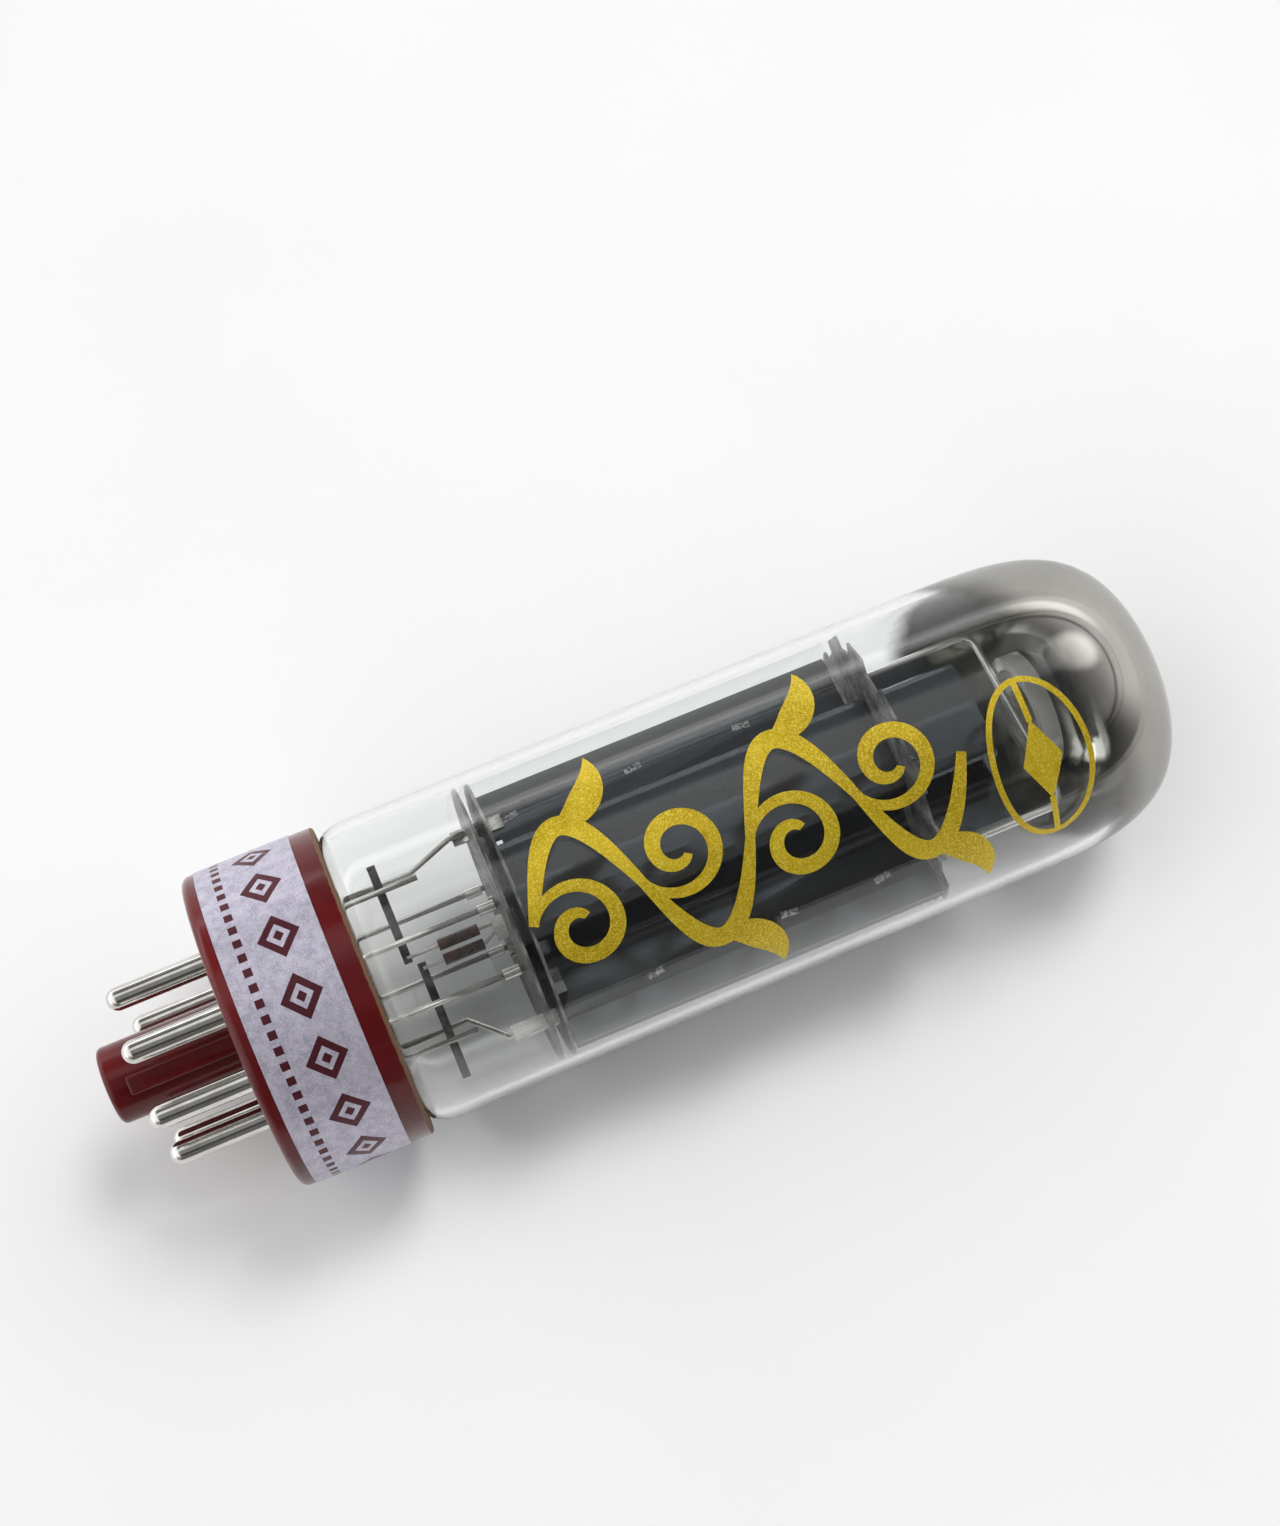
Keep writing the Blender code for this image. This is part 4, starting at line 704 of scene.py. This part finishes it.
smooth_copy("cathode", "cathode_sleeve", coated)
smooth_copy("heater", "heater_wire", coated, sharp=60.0)
for node in ("heater_strip_first", "heater_strip_second"):
    smooth_copy(node, node + "_bar", dark_steel)
for node in ("heater_sleeve_first", "heater_sleeve_second"):
    smooth_copy(node, node + "_tube", ceramic, sharp=50.0)
smooth_copy("cement_ring", "cement_bead", cement)
smooth_copy("stem", "glass_stem", glass)

# %% [markdown]
# The two halves of the anode are joined by spot welds along the wings. Each weld's electrode presses a
# small pad into the sheet and scratches its coat off, so bare metal glints there. Seven thin bevelled pads
# stand for them. The electrode mount is turned about the valve's axis, and the pads with it. Each pad has
# its place across the wings, its height and its lean in degrees.

# %% Weld marks
MOUNT_TURN = math.radians(-98.0)
MOUNT = TUBE @ Matrix.Rotation(MOUNT_TURN, 4, "Z")
WING_FACE = 0.00033
PAD_SIZE = (0.0007, 0.00010, 0.0018)
PAD_ROUND = 0.00003
PADS = ((0.0108, 0.0325, 9.0), (0.0104, 0.0400, -6.0), (0.0107, 0.0460, 5.0), (0.0105, 0.0580, -8.0),
        (-0.0108, 0.0395, 7.0), (-0.0104, 0.0540, -5.0), (-0.0107, 0.0640, 8.0))

bare_weld = small_finish(
    "bare_weld", (0.06, 0.065, 0.07), (0.60, 0.61, 0.62), 0.18, 0.42, 2600.0, 1.0, 0.00003)
pads = []
for across, pad_height, lean in PADS:
    clear_selection()
    bpy.ops.mesh.primitive_cube_add(size=1.0, location=(across, WING_FACE, pad_height))
    pad = bpy.context.object
    pad.scale = PAD_SIZE
    pad.rotation_euler.y = math.radians(lean)
    bpy.ops.object.transform_apply(location=True, rotation=True, scale=True)
    bpy.ops.object.mode_set(mode="EDIT")
    bpy.ops.mesh.select_all(action="SELECT")
    bpy.ops.mesh.bevel(offset=PAD_ROUND, segments=3)
    bpy.ops.object.mode_set(mode="OBJECT")
    pads.append(pad)
pick(*pads)
bpy.ops.object.join()
welds = bpy.context.object
welds.name = welds.data.name = "weld_marks"
bpy.ops.object.shade_smooth_by_angle(angle=math.radians(50.0))
settle(welds, bare_weld, lay=MOUNT)

# %% [markdown]
# The gold print is a thick ink full of metal grains, screen-printed on the glass. It stands a hair proud,
# so it gets a slight pebbled bump, and its grains glint at random.

# %% Gold ink
gold, tree, shader = new_finish("gold_ink", metallic=0.4, roughness=0.4)
pebble = add_group(tree, uneven_group, object_point(tree), Scale=5200.0)
patchy = add_group(tree, uneven_group, object_point(tree), Scale=150.0, Low=0.0, High=0.6)
glint = add_group(tree, sparkle_group, object_point(tree), Scale=9000.0, Share=0.25)
thin_ink = blend(tree, pebble.outputs["Value"], (0.40, 0.27, 0.004), (0.64, 0.45, 0.010))
ink = blend(tree, patchy.outputs["Value"], thin_ink, (0.76, 0.56, 0.020))
glints = math_node(tree, "MULTIPLY", glint.outputs["Mask"], 0.5)
tree.links.new(blend(tree, glints, ink, (0.95, 0.78, 0.12)), shader.inputs["Base Color"])
dry = add_group(tree, uneven_group, object_point(tree), Scale=1500.0, Low=0.28, High=0.5)
tree.links.new(dry.outputs["Value"], shader.inputs["Roughness"])
bump(tree, shader, pebble.outputs["Value"], 0.00001)

# %% [markdown]
# A stroke of ink is a strip that follows a formula: where its middle runs and how wide it is there. The
# strip starts as a flat grid. Its vertices are placed beside the middle line and wrapped round the glass,
# so the stroke follows the bulb closely even where the dome begins.

# %% Strokes of ink
INK_TURN_RADIUS = 0.0158
INK_LIFT = 0.00004
INK_THICKNESS = 0.00005
NUDGE = 0.001


def glass_radius(height):
    along = max(height - DOME_START, 0.0) / DOME_LENGTH
    return BULB_RADIUS * (1 - along ** DOME_SQUARENESS) ** (1 / DOME_SQUARENESS)


def stroke(line, turn, steps):
    """One strip; line(t) gives height, arc length and width for t from 0 to 1."""
    clear_selection()
    bpy.ops.mesh.primitive_grid_add(x_subdivisions=steps, y_subdivisions=4, size=1.0)
    strip = bpy.context.object
    for vertex in strip.data.vertices:
        t = vertex.co.x + 0.5
        height, arc_place, width = line(t)
        before, after = line(max(t - NUDGE, 0.0)), line(min(t + NUDGE, 1.0))
        ahead = Vector((after[0] - before[0], after[1] - before[1])).normalized()
        height -= ahead.y * width * vertex.co.y
        arc_place += ahead.x * width * vertex.co.y
        radius = glass_radius(height) + INK_LIFT
        angle = turn - arc_place / INK_TURN_RADIUS
        vertex.co = (radius * math.cos(angle), radius * math.sin(angle), height)
    return strip


def print_figure(name, strips, node):
    pick(*strips)
    bpy.ops.object.join()
    figure = bpy.context.object
    figure.name = figure.data.name = name
    bpy.ops.object.mode_set(mode="EDIT")
    bpy.ops.mesh.select_all(action="SELECT")
    bpy.ops.mesh.remove_doubles(threshold=MERGE_DISTANCE)
    bpy.ops.object.mode_set(mode="OBJECT")
    proud = figure.modifiers.new("Ink", "SOLIDIFY")
    proud.thickness = INK_THICKNESS
    proud.offset = 0.0
    bpy.ops.object.modifier_apply(modifier="Ink")
    bpy.ops.object.shade_smooth_by_angle(angle=math.radians(40.0))
    settle(figure, gold, [node])


# %% [markdown]
# The vine swings to and fro along the bulb. At each crossing a curl leaves it and winds up into the next
# bend, and a leaf stands on the outside of each bend. Curls are spirals whose radius shrinks evenly.

# %% Gold vine
VINE_TURN = math.radians(19.0)
VINE_START, VINE_LENGTH = 0.0295, 0.0440
VINE_SWING, VINE_BENDS = 0.0082, 4
STEM_WIDTH, CURL_WIDTH, LEAF_WIDTH = 0.0021, 0.0016, 0.0032
CURL_RADIUS, CURL_SHRINK, CURL_TURNS = 0.0046, 0.0034, 1.3
LEAF_LENGTH, LEAF_BEND = 0.0085, math.radians(52.0)
SLOPE = math.atan(math.pi * VINE_BENDS * VINE_SWING / VINE_LENGTH)


def bend_side(index):
    return 1 if index % 2 == 0 else -1


def vine_stem(t):
    swing = math.sin(math.pi * VINE_BENDS * t)
    return VINE_START + VINE_LENGTH * t, VINE_SWING * swing, STEM_WIDTH * (0.45 + 0.55 * abs(swing))


def vine_curl(index):
    start = VINE_START + VINE_LENGTH * index / VINE_BENDS

    def line(t):
        radius = CURL_RADIUS - CURL_SHRINK * t
        angle = math.pi / 2 + SLOPE - math.tau * CURL_TURNS * t
        return (start + CURL_RADIUS * math.sin(SLOPE) + radius * math.cos(angle),
                bend_side(index) * (radius * math.sin(angle) - CURL_RADIUS * math.cos(SLOPE)),
                CURL_WIDTH * (0.5 + 0.5 * math.sin(math.pi * t)))
    return line


def vine_leaf(index):
    foot = VINE_START + VINE_LENGTH * (index + 0.5) / VINE_BENDS

    def line(t):
        reach, bend = LEAF_LENGTH * t, LEAF_BEND * t
        return (foot + reach * math.cos(bend), bend_side(index) * (VINE_SWING + reach * math.sin(bend)),
                LEAF_WIDTH * math.sin(math.pi * (0.08 + 0.92 * t)))
    return line


strips = [stroke(vine_stem, VINE_TURN, 160)]
for bend in range(VINE_BENDS):
    strips.append(stroke(vine_curl(bend), VINE_TURN, 72))
    strips.append(stroke(vine_leaf(bend), VINE_TURN, 24))
print_figure("gold_vine", strips, "gold_vine_print")

# %% [markdown]
# The medallion is an oval line with a lozenge in it, held by two fine bars. All three are strips too: a
# lozenge is a strip that widens evenly to its middle and narrows again.

# %% Gold medallion
MEDALLION_TURN = math.radians(33.0)
MEDALLION_PLACE, MEDALLION_LINE = 0.0808, 0.0006
MEDALLION_LENGTH = 0.0052 - MEDALLION_LINE / 2
MEDALLION_WIDTH = 0.0086 - MEDALLION_LINE / 2
LOZENGE_HALF, BAR_START = 0.0042, 0.0040


def oval(t):
    angle = math.tau * t
    return (MEDALLION_PLACE + MEDALLION_LENGTH * math.cos(angle), MEDALLION_WIDTH * math.sin(angle),
            MEDALLION_LINE)


def lozenge(t):
    return MEDALLION_PLACE, LOZENGE_HALF * (2 * t - 1), LOZENGE_HALF * (1 - abs(2 * t - 1))


def fine_bar(side):
    length = MEDALLION_WIDTH - BAR_START
    return lambda t: (MEDALLION_PLACE, side * (BAR_START + length * t), MEDALLION_LINE)


strips = [stroke(oval, MEDALLION_TURN, 96), stroke(lozenge, MEDALLION_TURN, 32)]
strips += [stroke(fine_bar(side), MEDALLION_TURN, 8) for side in (1, -1)]
print_figure("gold_medallion", strips, "gold_medallion_print")

# %% [markdown]
# The valve lies on a white table under soft daylight. The table is one large plane whose colour is nearly
# white, with the faint clouds of real paper. The light is set so that this colour comes out just below
# white, and the valve's soft shadow stays on it.

# %% Table
clear_selection()
bpy.ops.mesh.primitive_plane_add(size=4.0, location=(0.0, 0.0, 0.0))
table = bpy.context.object
table.name = "white_table"
table_finish, tree, shader = new_finish("white_table", roughness=0.55)
paper = add_group(tree, uneven_group, object_point(tree), Scale=12.0)
tree.links.new(blend(tree, paper.outputs["Value"], (0.90, 0.90, 0.90), (0.93, 0.93, 0.93)),
               shader.inputs["Base Color"])
table.data.materials.append(table_finish)

# %% [markdown]
# Two soft windows give the daylight and its shadows, which fall toward the valve's near side. Polished
# metal would show them as hard white panes, so they are hidden from mirrored and bent rays.

# %% Daylight
WINDOW_DISTANCE = 4.2


def add_window(name, direction, side, power):
    light = bpy.data.lights.new(name, "AREA")
    light.size = side
    light.energy = power
    lamp = bpy.data.objects.new(name, light)
    bpy.context.scene.collection.objects.link(lamp)
    lamp.visible_glossy = False
    lamp.visible_transmission = False
    away = Vector(direction).normalized()
    lamp.location = away * WINDOW_DISTANCE
    lamp.rotation_euler = away.to_track_quat("Z", "Y").to_euler()
    print(name, "gives", power, "W from", round(math.degrees(math.asin(away.z))), "degrees up")


add_window("key_window", (0.34, 0.30, 0.89), 1.2, 56.5)
add_window("end_fill", (-0.42, 0.22, 0.88), 2.2, 13.5)

# %% [markdown]
# What the metal and the glass reflect is painted into the world: a bright low room, brighter toward both
# ends, a dim ceiling with a dark rail round it, a pale strip low on the far side, a pale patch overhead
# that leans to the far side, and one soft spot for the dome. Each mask below is 1 in its own part of the
# sky. X points toward the dome, Y to the far side and Z up. The first masks add light, and the others
# take a share off.

# %% World
world = bpy.data.worlds.new("pale_room")
bpy.context.scene.world = world
world.use_nodes = True
sky_tree = world.node_tree
direction = sky_tree.nodes.new("ShaderNodeTexCoord").outputs["Generated"]
parts = sky_tree.nodes.new("ShaderNodeSeparateXYZ")
sky_tree.links.new(direction, parts.inputs["Vector"])
sky_x, sky_y, sky_z = (parts.outputs[axis] for axis in "XYZ")


def sky_math(operation, first, second=None):
    return math_node(sky_tree, operation, first, second)


def sky_times(*factors):
    value = factors[0]
    for factor in factors[1:]:
        value = sky_math("MULTIPLY", value, factor)
    return value


def sky_edge(value, low, high):
    return edge_mask(sky_tree, value, low, high)


def sky_less(mask, loss):
    return sky_math("SUBTRACT", 1.0, sky_times(mask, loss))


spot_way = Vector((0.64, 0.25, 0.72)).normalized()
spot = sky_edge(dot_with(sky_tree, direction, spot_way), 0.955, 0.992)
from_middle = sky_math("ABSOLUTE", sky_x)
overhead = sky_edge(sky_z, 0.15, 0.80)
ends = sky_edge(from_middle, 0.30, 0.75)
base_end = sky_edge(sky_x, -0.30, -0.60)
far_strip = sky_times(sky_edge(sky_y, 0.25, 0.75), sky_edge(sky_z, 0.19, 0.25), sky_edge(sky_z, 0.38, 0.31))
near_low = sky_times(sky_edge(sky_y, -0.15, -0.70), sky_edge(sky_z, 0.62, 0.40))
far_side = sky_edge(sky_y, 0.03, 0.16)
patch = sky_times(sky_edge(sky_z, 0.845, 0.880), far_side)
rail = within(sky_tree, sky_z, 0.46, 0.016)
ring = sky_times(sky_edge(sky_z, 0.50, 0.56), sky_edge(sky_z, 0.850, 0.825))
shade = sky_times(sky_edge(from_middle, 0.45, 0.25), ring, sky_less(far_side, 0.45))

ROOM, CEILING_LOSS = 0.85, 0.60
brightness = sky_math("SUBTRACT", ROOM, sky_times(overhead, CEILING_LOSS))
for layer, strength in ((ends, 0.30), (far_strip, 1.6), (patch, 0.65), (spot, 1.6), (base_end, 0.70)):
    brightness = sky_math("ADD", brightness, sky_times(layer, strength))
for layer, loss in ((near_low, 0.80), (rail, 0.90), (shade, 0.75)):
    brightness = sky_times(brightness, sky_less(layer, loss))
sky = sky_tree.nodes["Background"]
sky.inputs["Color"].default_value = (1.0, 1.0, 1.0, 1.0)
sky_tree.links.new(brightness, sky.inputs["Strength"])
print("The sky is painted with", len(sky_tree.nodes), "nodes")

# %% [markdown]
# The camera stands above the valve's base end, a little to the near side, and is turned so that the valve
# runs up to the right across a tall frame. Its place was worked out from the pins, the base and the dome.
# It is given from the seating face, with X toward the dome, Y to the far side and Z up.

# %% Camera
CAMERA_PLACE = Vector((0.01702, -0.05957, 0.22758))
CAMERA_RIGHT = Vector((0.9199, -0.3921, 0.0))
CAMERA_LOOK = Vector((0.1242, 0.2915, -0.9485))

camera_data = bpy.data.cameras.new("camera")
camera_data.lens = 55.6
camera_data.sensor_width = 36.0
camera_data.clip_start = 0.01
camera_data.clip_end = 20.0
camera = bpy.data.objects.new("camera", camera_data)
bpy.context.scene.collection.objects.link(camera)
turned = Matrix(((0.0, 0.0, 1.0), (0.0, -1.0, 0.0), (1.0, 0.0, 0.0)))
to_world = LYING @ turned
right = to_world @ CAMERA_RIGHT
look = to_world @ CAMERA_LOOK
up = right.cross(look).normalized()
place = SEAT + to_world @ CAMERA_PLACE
camera.matrix_world = Matrix((
    (right.x, up.x, -look.x, place.x),
    (right.y, up.y, -look.y, place.y),
    (right.z, up.z, -look.z, place.z),
    (0.0, 0.0, 0.0, 1.0)))
bpy.context.scene.camera = camera
bpy.context.scene.view_settings.view_transform = "Standard"
print("The camera stands", round(1000 * place.z), "mm above the table")
